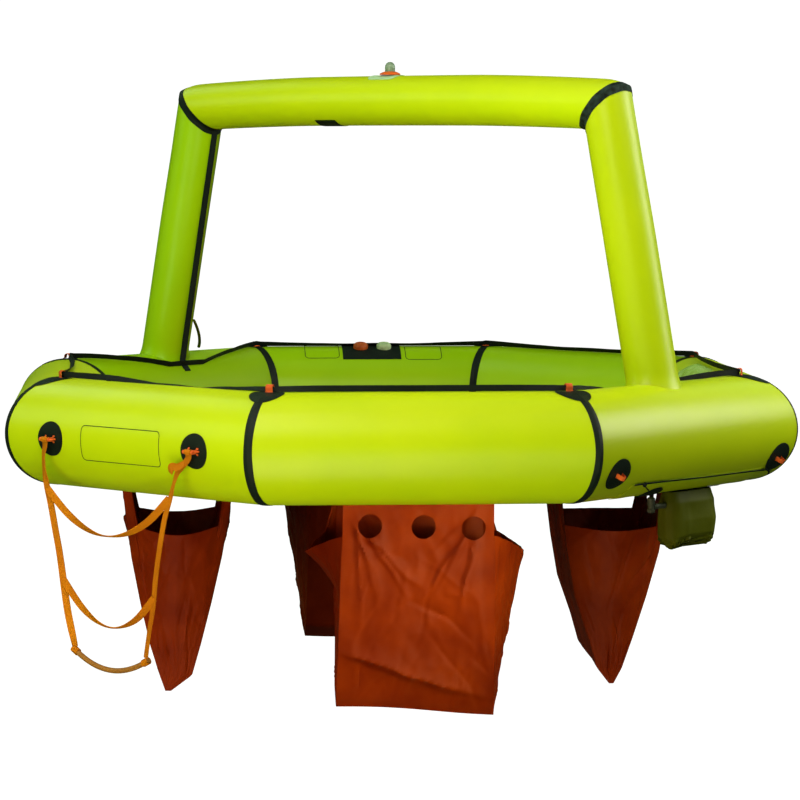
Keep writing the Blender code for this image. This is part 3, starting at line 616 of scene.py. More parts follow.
@dataclass
class BuoyancyRing(SubAssembly):
    """The eight inflated segments, their seam tapes and the round patches on the corners."""

    around: int = 96
    hoops: int = 30
    gather: float = 0.11
    swell: float = 0.0008
    tape_half: float = 0.013
    tape_thick: float = 0.0009
    tape_wave: float = 0.03
    tape_squeeze: float = 0.3
    patch_radius: float = 0.050
    patch_at: float = 78.75
    patch_thick: float = 0.0007
    pucker: float = 0.0011
    pucker_reach: float = 0.030
    pucker_count: int = 22

    def build(self) -> None:
        """Build the ring."""
        bends = list(self.layout.bends.values())
        for name, first, second in zip(self.layout.segments, bends, bends[1:] + bends[:1]):
            self.segment(name, first, second)
        for corner, bend in self.layout.bends.items():
            self.tape(corner, bend)

    def segment(self, name: str, first: Bend, second: Bend) -> None:
        """Inflate one segment between two mitres, with small puckers on the inner side of each."""
        radius, half = self.layout.radius, 0.5 * self.layout.gap

        def place(turn: float, share: float) -> Vector:
            start, end = first.at(1, turn, radius, half), second.at(0, turn, radius, half)
            at = share - self.gather * math.sin(TAU * share)
            near = min(at, 1.0 - at) * (end - start).length
            inner = max(0.0, -math.cos(turn)) ** 0.7
            waves = 0.5 + 0.5 * math.cos(self.pucker_count * turn + 1.7 * math.cos(3.0 * turn))
            dip = self.pucker * inner * waves * math.exp(-near / self.pucker_reach)
            swell = self.swell * math.sin(math.pi * at) ** 0.5 if 0.0 < at < 1.0 else 0.0
            return start.lerp(end, at) + circle(turn, first.outward(1), UP) * (swell - dip)

        length = (second.point - first.point).length
        piece = Shop.drum(f"segment_{name}", self.around, self.hoops, place, (TAU * radius, length))
        self.dress(piece, LIME, [f"tube_{name}"])

    def tape(self, corner: str, bend: Bend) -> None:
        """Lay the seam tape round a corner, and its round patch on top."""
        radius = self.layout.radius
        low = radius + self.layout.gap
        middle, level = math.radians(self.patch_at), low + self.tape_thick

        def place(u: float, v: float) -> Vector:
            turn = TAU * u
            wave = 1.0 + self.tape_wave * math.sin(7.0 * turn + len(corner))
            across = (2.0 * v - 1.0) * self.tape_half * wave
            if corner == "right_front" and bend.arms[0 if across < 0.0 else 1].y < 0.0:
                across *= self.tape_squeeze
            return bend.over(turn, low, across)

        def spot(x: float, y: float) -> Vector:
            return bend.over(middle + self.patch_radius * y / radius, level, self.patch_radius * x)

        piece = Shop.grid(f"tape_{corner}", 120, 4, place, (TAU * radius, 2.0 * self.tape_half))
        self.lay(piece, self.tape_thick, bend.away, TAPE, [f"seam_tape_{corner}"])
        patch = Shop.disc(f"corner_patch_{corner}", 48, spot, self.patch_radius)
        self.lay(patch, self.patch_thick, bend.away, TAPE)


@dataclass
class CanopyArch(SubAssembly):
    """The two leaning legs, the top tube, their tapes and strips, and the lamp."""

    radius: float = 0.0725
    angle: float = math.radians(135.0)
    top_half: float = 0.783
    rise: float = 0.9217
    foot: float = 0.975
    bow: float = 0.005
    flare: float = 0.006
    flare_reach: float = 0.040
    strip_wide: float = 0.025
    strip_thick: float = 0.0014
    tape_thick: float = 0.0011
    bow_lift: float = 0.002
    bow_start: float = 0.30
    bow_reach: float = 0.54
    bow_depth: float = 0.016
    corner_start: float = 0.775
    corner_reach: float = 0.067
    corner_depth: float = 0.012
    fade_end: float = 5.5
    disc_profile: Marks = (
        (0.0300, 0.0), (0.0304, 0.0010), (0.0304, 0.0030), (0.0290, 0.0042), (0.0250, 0.0062),
        (0.0210, 0.0080), (0.0175, 0.0092), (0.0165, 0.0095),
    )
    bulb_foot: Marks = (
        (0.0150, 0.0098), (0.0150, 0.0130), (0.0143, 0.0135), (0.0143, 0.0150), (0.0149, 0.0156),
    )

    def __post_init__(self) -> None:
        """Work out the arch's own directions, the top tube's middle and the radius that patches lie on."""
        self.across = Vector((math.cos(self.angle), math.sin(self.angle), 0.0))
        self.side = self.across.cross(UP)
        self.crown = UP * (self.layout.axis_z + self.rise + self.bow)
        self.low = self.radius + self.layout.gap

    def build(self) -> None:
        """Build the arch and its lamp."""
        axis = UP * self.layout.axis_z
        feet = [sign * self.across * self.foot + axis for sign in (1.0, -1.0)]
        tops = [sign * self.across * self.top_half + axis + UP * self.rise for sign in (1.0, -1.0)]
        left = Bend(tops[0], feet[0], tops[1], self.side)
        right = Bend(tops[1], tops[0], feet[1], self.side)
        self.top(left, right)
        for name, bend, arm, segment in (("left", left, 0, "back_left"), ("right", right, 1, "front_right")):
            self.leg(name, bend, arm, self.layout.tubes[segment])
            self.strip(name, bend, arm, self.layout.tubes[segment])
        self.tape("left", left, 0.0160, TAPE)
        self.tape("right", right, 0.0180, TAPE_KNIT)
        self.lamp()
        for piece in self.pieces:
            for vertex in piece.data.vertices:
                vertex.co += UP * self.droop(vertex.co)

    def droop(self, spot: Vector) -> float:
        """Give how far a point of the arch rises where the air bows it, or falls at its soft corners."""
        high = (spot.z - self.layout.axis_z - self.rise) / self.radius
        reach = abs(spot.dot(self.across))
        fade = clamp((high + self.fade_end) / (self.fade_end - 1.0))
        bend = (max(0.0, reach - self.bow_start) / self.bow_reach) ** 1.5
        corner = min(max(0.0, reach - self.corner_start) / self.corner_reach, 1.2) ** 2
        sag = (self.bow_depth * bend + self.corner_depth * corner) * (0.8 + 0.2 * clamp(high, -1.0))
        return ease(fade) * (self.bow_lift - sag)

    def top(self, left: Bend, right: Bend) -> None:
        """Inflate the top tube, which bows up a little at its middle."""
        half = 0.5 * self.layout.gap

        def place(turn: float, share: float) -> Vector:
            start, end = left.at(1, turn, self.radius, half), right.at(0, turn, self.radius, half)
            lift = self.bow * math.sin(math.pi * share) ** 0.6 if 0.0 < share < 1.0 else 0.0
            return start.lerp(end, share) + UP * lift

        piece = Shop.drum("arch_top_tube", 80, 96, place, (TAU * self.radius, 2.0 * self.top_half))
        self.dress(piece, LIME, ["arch_top"])

    @staticmethod
    def drop(point: Vector, ray: Vector, tube: Tube, radius: float) -> Vector:
        """Follow a ray down to the surface of a tube of the ring."""
        across = tube.away(point)
        slope = ray - ray.dot(tube.along) * tube.along
        a, b, c = slope.dot(slope), 2.0 * across.dot(slope), across.dot(across) - radius**2
        return point + ray * ((-b - math.sqrt(b * b - 4.0 * a * c)) / (2.0 * a))

    def leg(self, name: str, bend: Bend, arm: int, tube: Tube) -> None:
        """Inflate a leg down to its saddle on the ring, where it flares."""
        down, out = bend.arms[arm], bend.outward(arm)
        seat = self.layout.radius + self.layout.gap

        def saddle(turn: float, radius: float) -> Vector:
            return self.drop(bend.point + radius * circle(turn, out, bend.side), down, tube, seat)

        def place(turn: float, share: float) -> Vector:
            head = bend.at(arm, turn, self.radius, 0.5 * self.layout.gap)
            lift = (head - saddle(turn, self.radius)).length * max(1.0 - share, 0.0) ** 1.6
            near = max(0.0, 1.0 - lift / self.flare_reach)
            base = saddle(turn, self.radius + self.flare * near**2.2)
            return base - down * lift if share > 0.0 else head

        piece = Shop.drum(f"arch_{name}_leg", 80, 60, place, (TAU * self.radius, 0.9))
        self.dress(piece, LIME, [f"arch_leg_{name}"])

    def strip(self, name: str, bend: Bend, arm: int, tube: Tube) -> None:
        """Lay the black strip down a leg's inner face and onto the ring."""
        down, inward = bend.arms[arm], -bend.outward(arm)
        start = bend.point + inward * self.low + down * 0.030
        end = bend.point + inward * (self.low + self.flare)
        foot = self.drop(end, down, tube, self.layout.radius + 0.001)
        reach = foot - tube.start
        seat = math.atan2(reach.dot(UP), reach.dot(tube.out))
        base = tube.start + tube.along * reach.dot(tube.along)
        route = [start.lerp(foot, i / 20.0) for i in range(19)]
        route.append(start.lerp(foot, 0.985) + inward * 0.001)
        route += [base + circle(seat + 0.030 * step, tube.out, UP) * (self.layout.radius + 0.0022)
                  for step in range(1, 9)]

        def place(u: float, v: float) -> Vector:
            return pick(route, u) + bend.side * (self.strip_wide * (v - 0.5))

        piece = Shop.grid(f"leg_strip_{name}", len(route) - 1, 2, place, (0.9, self.strip_wide))
        self.lay(piece, self.strip_thick, lambda p: inward + UP * 0.3, TAPE, [f"arch_strip_{name}"])

    def tape(self, name: str, bend: Bend, half: float, finish: Finish) -> None:
        """Lay the tape over a mitre of the arch."""
        def place(u: float, v: float) -> Vector:
            wave = 1.0 + 0.04 * math.sin(9.0 * TAU * u)
            return bend.over(TAU * u, self.low, (2.0 * v - 1.0) * half * wave)

        piece = Shop.grid(f"arch_seam_{name}", 96, 4, place, (TAU * self.radius, 0.026))
        self.lay(piece, self.tape_thick, bend.away, finish, [f"arch_tape_{name}"])

    def on_top(self, distance: float, degrees: float, radius: float) -> Vector:
        """Give a point on the top tube, at degrees from its highest line."""
        return self.across * distance + self.crown + radius * circle(math.radians(degrees), UP, self.side)

    def away_from_top(self, spot: Vector) -> Vector:
        """Give the direction from the top tube's axis to a spot."""
        reach = spot - self.crown
        return reach - reach.dot(self.across) * self.across

    def lamp(self) -> None:
        """Build the lamp with its pale patch, and the dark patch under the arch."""
        low = self.low + 0.0004

        def pad(x: float, y: float) -> Vector:
            square = (abs(x) ** 6 + abs(y) ** 6) ** (1.0 / 6.0)
            corner = math.hypot(x, y) / square if x or y else 1.0
            return self.on_top(0.020 + 0.052 * x * corner, 34.0 * y * corner, low)

        def under(u: float, v: float) -> Vector:
            return self.on_top(0.1885 + 0.080 * u, 220.0 - 80.0 * v, low)

        self.lay(Shop.disc("lamp_pad", 64, pad, 0.066), PATCH, self.away_from_top, MINT, ["lamp_patch"])
        piece = Shop.grid("arch_under_patch", 6, 10, under, (0.08, 0.10))
        self.lay(piece, CLOTH, self.away_from_top, TAPE, ["arch_patch"])
        seat = self.on_top(0.014, 0.0, self.low + 0.0024)
        axes = (self.across, self.side, UP)
        disc = Shop.lathe("lamp_disc", 64, self.disc_profile, seat, axes, lambda turn, radius, high: 0.0)
        self.dress(disc, BASE, ["lamp_base"], smooth=50.0)
        dome = [(0.0147 * math.cos(t) + 0.0002, 0.0220 + 0.0160 * math.sin(t))
                for t in (0.5 * math.pi * step / 10.0 for step in range(11))]

        def ribs(turn: float, radius: float, high: float) -> float:
            return 0.0006 * max(0.0, math.cos(12.0 * turn)) if radius > 0.012 else 0.0

        bulb = Shop.lathe("lamp_bulb_cover", 64, [*self.bulb_foot, *dome], seat, axes, ribs)
        self.dress(bulb, BULB, ["lamp_bulb"], smooth=50.0)


@dataclass(frozen=True)
class Crease:
    """One sharp fold line in thin cloth, from a start to an end in the wall's own plane."""

    start: Vector
    end: Vector
    width: float
    height: float

    def lift(self, spot: Vector) -> float:
        """Give how far the crease lifts the cloth at a spot of the wall."""
        run = self.end - self.start
        share = (spot - self.start).dot(run) / run.length_squared
        if not -0.1 < share < 1.1:
            return 0.0
        across = run.x * (spot.y - self.start.y) - run.y * (spot.x - self.start.x)
        reach = across / run.length + 0.010 * ripple(spot.x * 12.0, spot.y * 12.0, self.height * 900.0)
        fade = max(0.0, 1.0 - (2.0 * share - 1.0) ** 2 / 1.44)
        side = self.width if reach > 0.0 else 0.35 * self.width
        return self.height * fade * math.exp(-abs(reach) / side)


@dataclass(frozen=True)
class BagHang:
    """How one bag hangs.

    The corner and the middle are the heights of its gussets' mouths, and the slant is its bottom's. The
    wings say how far its gussets stand out. The trim moves its outer and inner wall at each level. The
    arms are the widths of the bands that stay up beside each mouth.
    """

    name: str
    corner: float
    middle: float
    slant: float
    left_wing: float
    right_wing: float
    seed: int
    trim: Marks = ((0.0, 0.0),) * 6 + ((0.036, 0.036),)
    arms: Mark = (0.0, 0.0)
    front: bool = False


@dataclass
class BallastBags(SubAssembly):
    """Four water bags of thin coated cloth that hang under the ring."""

    shift: float = 0.012
    cloth: float = 0.0014
    levels: tuple[tuple[float, ...], ...] = (
        (-0.0188, 0.797, 0.478, 0.205, 0.000),
        (-0.1450, 0.781, 0.490, 0.207, 0.106),
        (-0.2500, 0.768, 0.509, 0.210, 0.080),
        (-0.3800, 0.743, 0.539, 0.213, 0.052),
        (-0.5000, 0.716, 0.570, 0.215, 0.026),
        (-0.5900, 0.690, 0.592, 0.217, 0.010),
        (-0.6350, 0.642, 0.624, 0.217, 0.000),
    )
    hole_radius: float = 0.033
    holes: Marks = ((-0.132, -0.0990), (0.0140, -0.1030), (0.1500, -0.1070))
    folds: int = 30
    panel: tuple[int, int, float] = (72, 90, 0.42)
    gusset: tuple[int, int, float] = (64, 74, 0.32)
    wing_level: float = -0.19
    hangs: tuple[BagHang, ...] = (
        BagHang("front", -0.128, -0.186, 0.024, 0.55, 1.0, 41, arms=(0.14, 0.0), front=True),
        BagHang("right", -0.170, -0.178, -0.020, 0.95, 0.9, 42,
                ((0.0, -0.004), (0.0, -0.008), (-0.006, -0.014), (-0.018, -0.022), (-0.030, -0.012),
                 (-0.036, -0.009), (-0.012, -0.006)), (0.0, 0.095)),
        BagHang("back", -0.150, -0.190, -0.020, 0.9, 0.8, 43),
        BagHang("left", -0.150, -0.178, 0.020, 0.9, 1.0, 47,
                ((0.0, 0.0),) * 5 + ((-0.002, 0.004), (0.030, 0.033)), (0.095, 0.105)),
    )

    def __post_init__(self) -> None:
        """Take the heights of the bottom and the mouth from the levels."""
        self.bottom, self.mouth = self.levels[-1][0], self.levels[0][0]

    def build(self) -> None:
        """Sew and hang the four bags."""
        for quarter, hang in enumerate(self.hangs):
            self.bag(hang, quarter)

    def level(self, hang: BagHang, z: float) -> list[float]:
        """Give a bag's outer and inner reach, half width and bulge at a height."""
        rows = [(z, far + out, near + back, *rest)
                for (z, far, near, *rest), (out, back) in zip(self.levels, hang.trim)]
        i = next((k for k in range(len(rows) - 1) if z >= rows[k + 1][0]), len(rows) - 2)
        t = (z - rows[i][0]) / (rows[i + 1][0] - rows[i][0])
        return [a + (b - a) * t for a, b in zip(rows[i][1:], rows[i + 1][1:])]

    def creases(self, draw: random.Random, wide: float, part: int, front: bool) -> list[Crease]:
        """Draw the folds of one wall.

        Args:
            draw: The bag's own seeded generator.
            wide: The wall's width in metres.
            part: The wall's number, 0 for the outer panel.
            front: Whether the wall is the front bag's, which is folded most.

        Returns:
            Its creases: pulls from the top corners, drops, short crumples and one long fold low across.
        """
        made = []
        if part in (0, 2):
            for corner in (-1.0, 1.0):
                for number in range(5):
                    start = Vector((corner * wide * draw.uniform(0.36, 0.47), draw.uniform(-0.10, -0.03)))
                    turn = -0.5 * math.pi - corner * (0.10 + 0.17 * number + draw.uniform(-0.05, 0.05))
                    end = start + draw.uniform(0.16, 0.30) * Vector((math.cos(turn), math.sin(turn)))
                    made.append(Crease(start, end, draw.uniform(0.008, 0.016), draw.uniform(0.005, 0.010)))
            start, end = Vector((-0.62 * wide, -0.440)), Vector((0.40 * wide, -0.585))
            made.append(Crease(start, end, 0.040, 0.026 if front else 0.006))
        for number in range(self.folds):
            start = Vector((draw.uniform(-0.5, 0.5) * wide, draw.uniform(-0.56, -0.06)))
            turn = draw.gauss(-0.5 * math.pi, 0.4) if number % 3 else draw.uniform(-math.pi, 0.0)
            run = draw.uniform(0.05, 0.22)
            end = start + run * Vector((math.cos(turn), math.sin(turn)))
            sign = draw.choice((-1.0, 1.0))
            made.append(Crease(start, end, draw.uniform(0.004, 0.012), sign * draw.uniform(0.0020, 0.0065)))
        return made

    def outline(self, hang: BagHang, z: float, part: int, t: float) -> Vector:
        """Give a point of a flat wall: 0 the outer panel, 1 and 3 the gussets, 2 the inner panel."""
        outer, inner, half, bulge = self.level(hang, max(z, self.bottom))
        swell = max(1.0 - abs(2.0 * t - 1.0), 0.0) ** 0.85
        if not hang.front:
            swell = 0.3 * swell + 0.7 * max(math.sin(math.pi * t), 0.0) ** 0.8
        if part == 0:
            return Vector((self.shift - half + 2.0 * half * t, -outer, z))
        if part == 1:
            reach = self.shift + half + hang.right_wing * bulge * swell
            return Vector((reach, -outer + (outer - inner) * t, z))
        if part == 2:
            return Vector((self.shift + half - 2.0 * half * t, -inner, z))
        if hang.front:
            bulge *= max(0.0, 1.0 - (1.0 - hang.left_wing) * 20.0 * max(0.0, self.wing_level - z))
        return Vector((self.shift - half - bulge * swell, -inner - (outer - inner) * t, z))

    def edges(self, hang: BagHang, part: int, u: float) -> Mark:
        """Give the heights of a wall's lower and upper edge at a share of its width."""
        lead = (u, 1.0, 1.0 - u, 0.0)[part]
        low = self.bottom + hang.slant * (1.0 - lead) if hang.slant > 0.0 else self.bottom - hang.slant * lead
        low += 0.004 * math.sin(5.0 * lead)
        if part in (0, 2):
            return low, self.mouth
        ridge = 1.0 - abs(2.0 * u - 1.0) if hang.front else max(math.sin(math.pi * u), 0.0)
        high = hang.corner + (hang.middle - hang.corner) * ridge
        inner, outer = (1.0 - u, u) if part == 1 else (u, 1.0 - u)
        arm = clamp(max((hang.arms[0] - inner) / 0.035, (hang.arms[1] - outer) / 0.035))
        return low, high + (self.mouth - high) * ease(arm)

    def wall(self, hang: BagHang, quarter: int, part: int, wide: float, draw: random.Random) -> Place:
        """Give the surface of one wall with its folds.

        Args:
            hang: How its bag hangs.
            quarter: The quarter of the raft that the bag hangs in.
            part: The wall's number, as in outline.
            wide: The wall's width in metres.
            draw: The bag's own seeded generator.

        Returns:
            The point of the wall for u and v from 0 to 1.
        """
        folds = self.creases(draw, wide, part, hang.front)
        out = (Vector((0, -1, 0)), Vector((1, 0, 0)), Vector((0, 1, 0)), Vector((-1, 0, 0)))[part]
        spin = Matrix.Rotation(quarter * 0.5 * math.pi, 3, "Z")
        relief = 1.0 if hang.front or part in (1, 3) else 0.5

        def place(u: float, v: float) -> Vector:
            low, high = self.edges(hang, part, u)
            z = high + (low - high) * (1.0 - v)
            at = self.bottom + (z - low) * (self.mouth - self.bottom) / (self.mouth - low)
            spot = self.outline(hang, at, part, u)
            spot.z = z
            flat = Vector(((u - 0.5) * wide, z))
            x, y = flat
            lift = sum(fold.lift(flat) for fold in folds)
            lift += 0.0050 * ripple(x * 7.0, y * 5.0, quarter * 3.0 + part)
            lift += 0.0012 * ripple(x * 45.0, y * 30.0, quarter + part)
            lift -= 0.0060 * abs(ripple(x * 19.0, y * 10.0, 7.0 + quarter + part))
            free = min(1.0, 9.0 * (self.mouth - z) + 0.02) * min(1.0, 12.0 * u, 12.0 * (1.0 - u))
            free *= min(1.0, 12.0 * (z - low) + 0.1)
            return spin @ (spot + out * (relief * lift * max(free, 0.0)))

        return place

    def bag(self, hang: BagHang, quarter: int) -> None:
        """Sew one bag: two panels, and two gussets that fold outward and stand open at the top."""
        draw = random.Random(hang.seed)
        walls = []
        for part, (columns, rows, wide) in enumerate((self.panel, self.gusset) * 2):
            place = self.wall(hang, quarter, part, wide, draw)
            piece = Shop.grid(f"wall_{part}", columns, rows, place, (wide, 0.62))
            Shop.apply(piece, "SOLIDIFY", thickness=self.cloth, offset=0.0, use_even_offset=False)
            Shop.recalculate(piece)
            walls.append(piece)
        for x, z in self.holes:
            bpy.ops.mesh.primitive_cylinder_add(vertices=40, radius=self.hole_radius, depth=0.12)
            punch = bpy.context.object
            Shop.edit(punch)
            bpy.ops.transform.rotate(value=0.5 * math.pi, orient_axis="X", center_override=(0.0, 0.0, 0.0))
            bpy.ops.transform.translate(value=(self.shift + x, -0.785, z))
            Shop.close()
            punch.data.transform(Matrix.Rotation(quarter * 0.5 * math.pi, 4, "Z"))
            Shop.combine(walls[0], punch, "DIFFERENCE")
        piece = Shop.join(f"water_bag_{hang.name}", walls)
        self.dress(piece, BAG, [f"ballast_bag_{hang.name}"], smooth=50.0)


@dataclass
class Lifeline(SubAssembly):
    """The webbing line round the top of the ring and the orange loops that hold it."""

    high: float = 0.017
    thick: float = 0.002
    inset: float = 0.012
    far: tuple[str, ...] = ("left_back", "back_left", "back_right", "right_back")
    usual: tuple[tuple[float, float, float], ...] = (
        (0.022, 0.0057, 15), (0.25, 0.016, 45), (0.5, 0.020, 50), (0.75, 0.016, 45), (0.978, 0.0057, 15),
    )
    special: dict[str, tuple[tuple[float, float, float], ...]] = field(default_factory=lambda: {
        "front": ((0.022, 0.0057, 35), (0.20, 0.016, 8), (0.5, 0.020, 4), (0.80, 0.016, 10),
                  (0.978, 0.0057, 30)),
        "right": ((0.022, 0.0057, 10), (0.25, 0.016, 20), (0.5, 0.020, 25), (0.75, 0.016, 25),
                  (0.978, 0.0057, 15)),
        "back": ((0.022, 0.0057, 30), (0.25, 0.002, 60), (0.5, 0.0, 62), (0.75, 0.002, 60),
                 (0.978, 0.0057, 30)),
        "back_left": ((0.022, 0.0057, 25), (0.20, 0.055, 40), (0.41, 0.1000, 30), (0.59, 0.1000, 30),
                      (0.80, 0.055, 45), (0.978, 0.0057, 30)),
        "front_right": ((0.022, 0.0057, 50), (0.20, 0.055, 55), (0.41, 0.1000, 25), (0.59, 0.1000, 12),
                        (0.80, 0.055, 8), (0.978, 0.0057, 10)),
        "front_left": ((0.022, 0.0057, 15), (0.2, 0.026, 30), (0.4, 0.052, 75), (0.6, 0.058, 80),
                       (0.8, 0.030, 72), (0.978, 0.0057, 40)),
    })

    def stations(self, corner: str, segment: str) -> list[tuple[float, float, float]]:
        """Give a segment's shares of length, with the line's inward offset and lean in degrees."""
        marks = self.special.get(segment, self.usual)
        stations = [(0.0, self.inset, 0.0 if corner in self.far else -22.0)]
        for before, after in zip(marks, marks[1:]):
            for t in (step / 6.0 for step in range(6)):
                stations.append(tuple(a + (b - a) * t for a, b in zip(before, after)))
        return [*stations, marks[-1]]

    def route(self) -> list[tuple[Vector, Vector]]:
        """Give the points of the line's lower edge with the direction that it stands in."""
        points = []
        for corner, segment in zip(self.layout.names, self.layout.segments):
            tube = self.layout.tubes[segment]
            for share, offset, lean in self.stations(corner, segment):
                near = max(abs(offset) - 0.0012, 0.0)
                rise = math.sqrt((self.layout.radius + 0.0018) ** 2 - near**2) + 0.0006
                inward = self.layout.bends[corner].inside if share == 0.0 else -tube.out
                place = tube.start + tube.along * (share * tube.length)
                wave = 4.0 * math.sin(23.0 * share) * math.sin(math.pi * share)
                stand = circle(math.radians(lean + wave), UP, inward)
                points.append((place + inward * offset + UP * rise, stand))
        return points

    def build(self) -> None:
        """Lay the line and fix its loops."""
        points = self.route()
        count = len(points)

        def place(u: float, v: float) -> Vector:
            spot, stand = points[round(u * count) % count]
            return spot + stand * (self.high * v)

        piece = Shop.grid("grab_line", count, 4, place, (6.3, self.high))
        self.lay(piece, self.thick, lambda p: Vector((p.x, p.y, 0.0)), LINE, ["lifeline"], offset=0.0)
        for corner, bend in self.layout.bends.items():
            far = corner in self.far
            inset, high, tilt = (self.inset - 0.0085, 0.0150, 0.0) if far else (self.inset, 0.0200, 0.2)
            foot = bend.point + bend.inside * inset + UP * (self.layout.radius + 0.0020)
            stand = (UP - tilt * bend.inside).normalized()
            across = (bend.inside + tilt * UP).normalized()
            nodes = [f"line_loop_{corner}"]
            self.strap_loop(f"loop_{corner}", foot, stand, across, 0.022, 0.013, high, nodes)


@dataclass
class BoardingLadder(SubAssembly):
    """The webbing ladder with its eyes, steps and bottom rung, and what it hangs from."""

    out: float = 0.0205
    drop: float = -0.004
    ends: Mark = (-0.2790, 0.2690)
    web_wide: float = 0.020
    web_thick: float = 0.0024
    web_steps: int = 6
    rung_radius: float = 0.0075
    bar_radius: float = 0.003
    left: Marks = (
        (-0.2790, -0.0052), (-0.2800, -0.0190), (-0.2855, -0.0460), (-0.2830, -0.0850), (-0.2730, -0.1254),
        (-0.2575, -0.1750), (-0.2395, -0.2467), (-0.2220, -0.3168), (-0.1995, -0.4359), (-0.1865, -0.4900),
        (-0.1640, -0.5610),
    )
    right: Marks = (
        (0.2690, -0.0052), (0.2677, -0.0180), (0.2480, -0.0380), (0.2290, -0.0560), (0.2150, -0.0860),
        (0.2010, -0.1290), (0.1800, -0.1850), (0.1610, -0.2650), (0.1460, -0.3450), (0.1360, -0.4230),
        (0.1200, -0.4950), (0.1075, -0.5640),
    )
    tail: Marks = ((0.2560, -0.0300), (0.2350, -0.0420), (0.2130, -0.0420), (0.2060, -0.0600))

    def __post_init__(self) -> None:
        """Take the tube that the ladder hangs on."""
        self.tube = self.layout.tubes["front_left"]

    def point(self, x: float, y: float, proud: float = 0.0) -> Vector:
        """Give a point of the ladder's plane, x along the tube and y up."""
        origin = self.tube.start + self.tube.along * 0.5 * self.tube.length + UP * self.drop
        return origin + self.tube.out * (self.layout.radius + self.out + proud) + self.tube.along * x + UP * y

    @staticmethod
    def sag(start: Mark, low: Mark, end: Mark, count: int) -> Marks:
        """Give the points of a sag through three marks."""
        points = []
        for t in (i / count for i in range(count + 1)):
            weights = ((1 - t) * (1 - 2 * t), 4 * t * (1 - t), t * (2 * t - 1))
            points.append(tuple(sum(w * p[k] for w, p in zip(weights, (start, low, end))) for k in (0, 1)))
        return points

    def web(self, name: str, path: Marks, proud: Sequence[float], twist: Sequence[float]) -> Piece:
        """Run a strap along a path.

        Args:
            name: The strap's name.
            path: Its marks, x along the tube and y up.
            proud: How far each mark stands off the ladder's plane.
            twist: How far the strap is turned about its run at each mark, in degrees.

        Returns:
            The strap.
        """
        rows = [(*spot, off, turn) for spot, off, turn in zip(path, proud, twist)]
        count = len(rows) - 1
        fine = []
        for i in range(count * self.web_steps + 1):
            k = min(i // self.web_steps, count - 1)
            t = i / self.web_steps - k
            row = []
            for p0, p1, p2, p3 in zip(*(rows[min(max(j, 0), count)] for j in range(k - 1, k + 3))):
                a, b = 0.5 * (p2 - p0), 0.5 * (p3 - p1)
                row.append(p1 + t * (a + t * (3 * (p2 - p1) - 2 * a - b + t * (2 * (p1 - p2) + a + b))))
            fine.append(row)
        flat = [Vector(row[:2]) for row in fine]

        def place(u: float, v: float) -> Vector:
            i = round(u * (len(fine) - 1))
            x, y, off, turn = fine[i]
            ahead = heading(flat, i)
            side = self.tube.along * -ahead.y + UP * ahead.x
            across = circle(math.radians(turn), side, self.tube.out)
            return self.point(x, y, off) + across * (self.web_wide * (v - 0.5))

        piece = Shop.grid(name, len(fine) - 1, 3, place, (0.05 * count, self.web_wide))
        Shop.thicken(piece, self.web_thick, lambda p: self.tube.out, 0.0)
        return piece

    def eye(self, name: str, centre: Vector, axis: Vector, inner: float, outer: float, wide: float) -> Piece:
        """Wrap a band of strap round a bar."""
        right = axis.cross(UP if abs(axis.z) < 0.9 else Vector((1.0, 0.0, 0.0))).normalized()
        up = axis.cross(right)

        def place(u: float, v: float) -> Vector:
            return centre + circle(TAU * u, right, up) * inner + axis * (wide * (v - 0.5))

        piece = Shop.grid(name, 28, 2, place, (TAU * inner, wide))
        Shop.thicken(piece, outer - inner, lambda p: (p - centre) - (p - centre).dot(axis) * axis)
        return piece

    def build(self) -> None:
        """Sew the ladder and fix what carries it."""
        middle = 0.5 * self.tube.length
        degrees = math.degrees(self.drop / self.layout.radius)
        for side, reach in zip(("left", "right"), self.ends):
            spot = (middle + reach, degrees)
            self.patch(f"ladder_pad_{side}", self.tube, spot, 0.048, 0.0006, [f"ladder_patch_{side}"])
            self.staple(side, middle + reach)
        self.body = "ladder"
        marks = self.sag((-0.1720, -0.5640), (-0.0290, -0.6110), (0.1190, -0.5680), 28)
        rung = [self.point(*mark) for mark in marks]
        self.straps(rung)
        self.rung(rung)
        self.body = "raft"

    def straps(self, rung: Sequence[Vector]) -> None:
        """Sew the two sides, the two steps, the loose tail, the eyes and the bands round the rung."""
        upper = self.sag((-0.2690, -0.1340), (-0.0350, -0.2475), (0.1990, -0.1280), 6)
        lower = self.sag((-0.2110, -0.3760), (-0.0320, -0.4940), (0.1410, -0.4000), 5)
        flat = (0.0,) * len(self.right)
        parts = [
            self.web("left", self.left, flat, (0, 12, 22, 20, -5, -14, -16, -20, -34, -38, 0)),
            self.web("right", self.right, flat, (0, 5, 15, 14, 30, 16, 12, 12, 12, 14, 18, 14)),
            self.web("upper", upper, (0.0018, *flat[:5], 0.0018), (-20, -12, 30, 75, 62, 40, 20)),
            self.web("lower", lower, (0.0018, *flat[:4], 0.0018), (-25, -5, 45, 78, 56, 22)),
            self.web("tail", self.tail, (0.0010, 0.0045, 0.0060, 0.0030), (30, 8, -12, 25)),
        ]
        for reach in self.ends:
            parts.append(self.eye("eye", self.point(reach, 0.0), self.tube.along, 0.0037, 0.0072, 0.0212))
        inner, outer = self.rung_radius + 0.0003, self.rung_radius + 0.0028
        for x, i, j in ((-0.1600, 1, 3), (0.1070, -4, -2)):
            spot = min(rung, key=lambda p: abs((p - self.point(x, 0.0)).dot(self.tube.along)))
            parts.append(self.eye("band", spot, (rung[j] - rung[i]).normalized(), inner, outer, 0.021))
        self.dress(Shop.join("ladder_straps", parts), STRAP, ["ladder_webbing"])

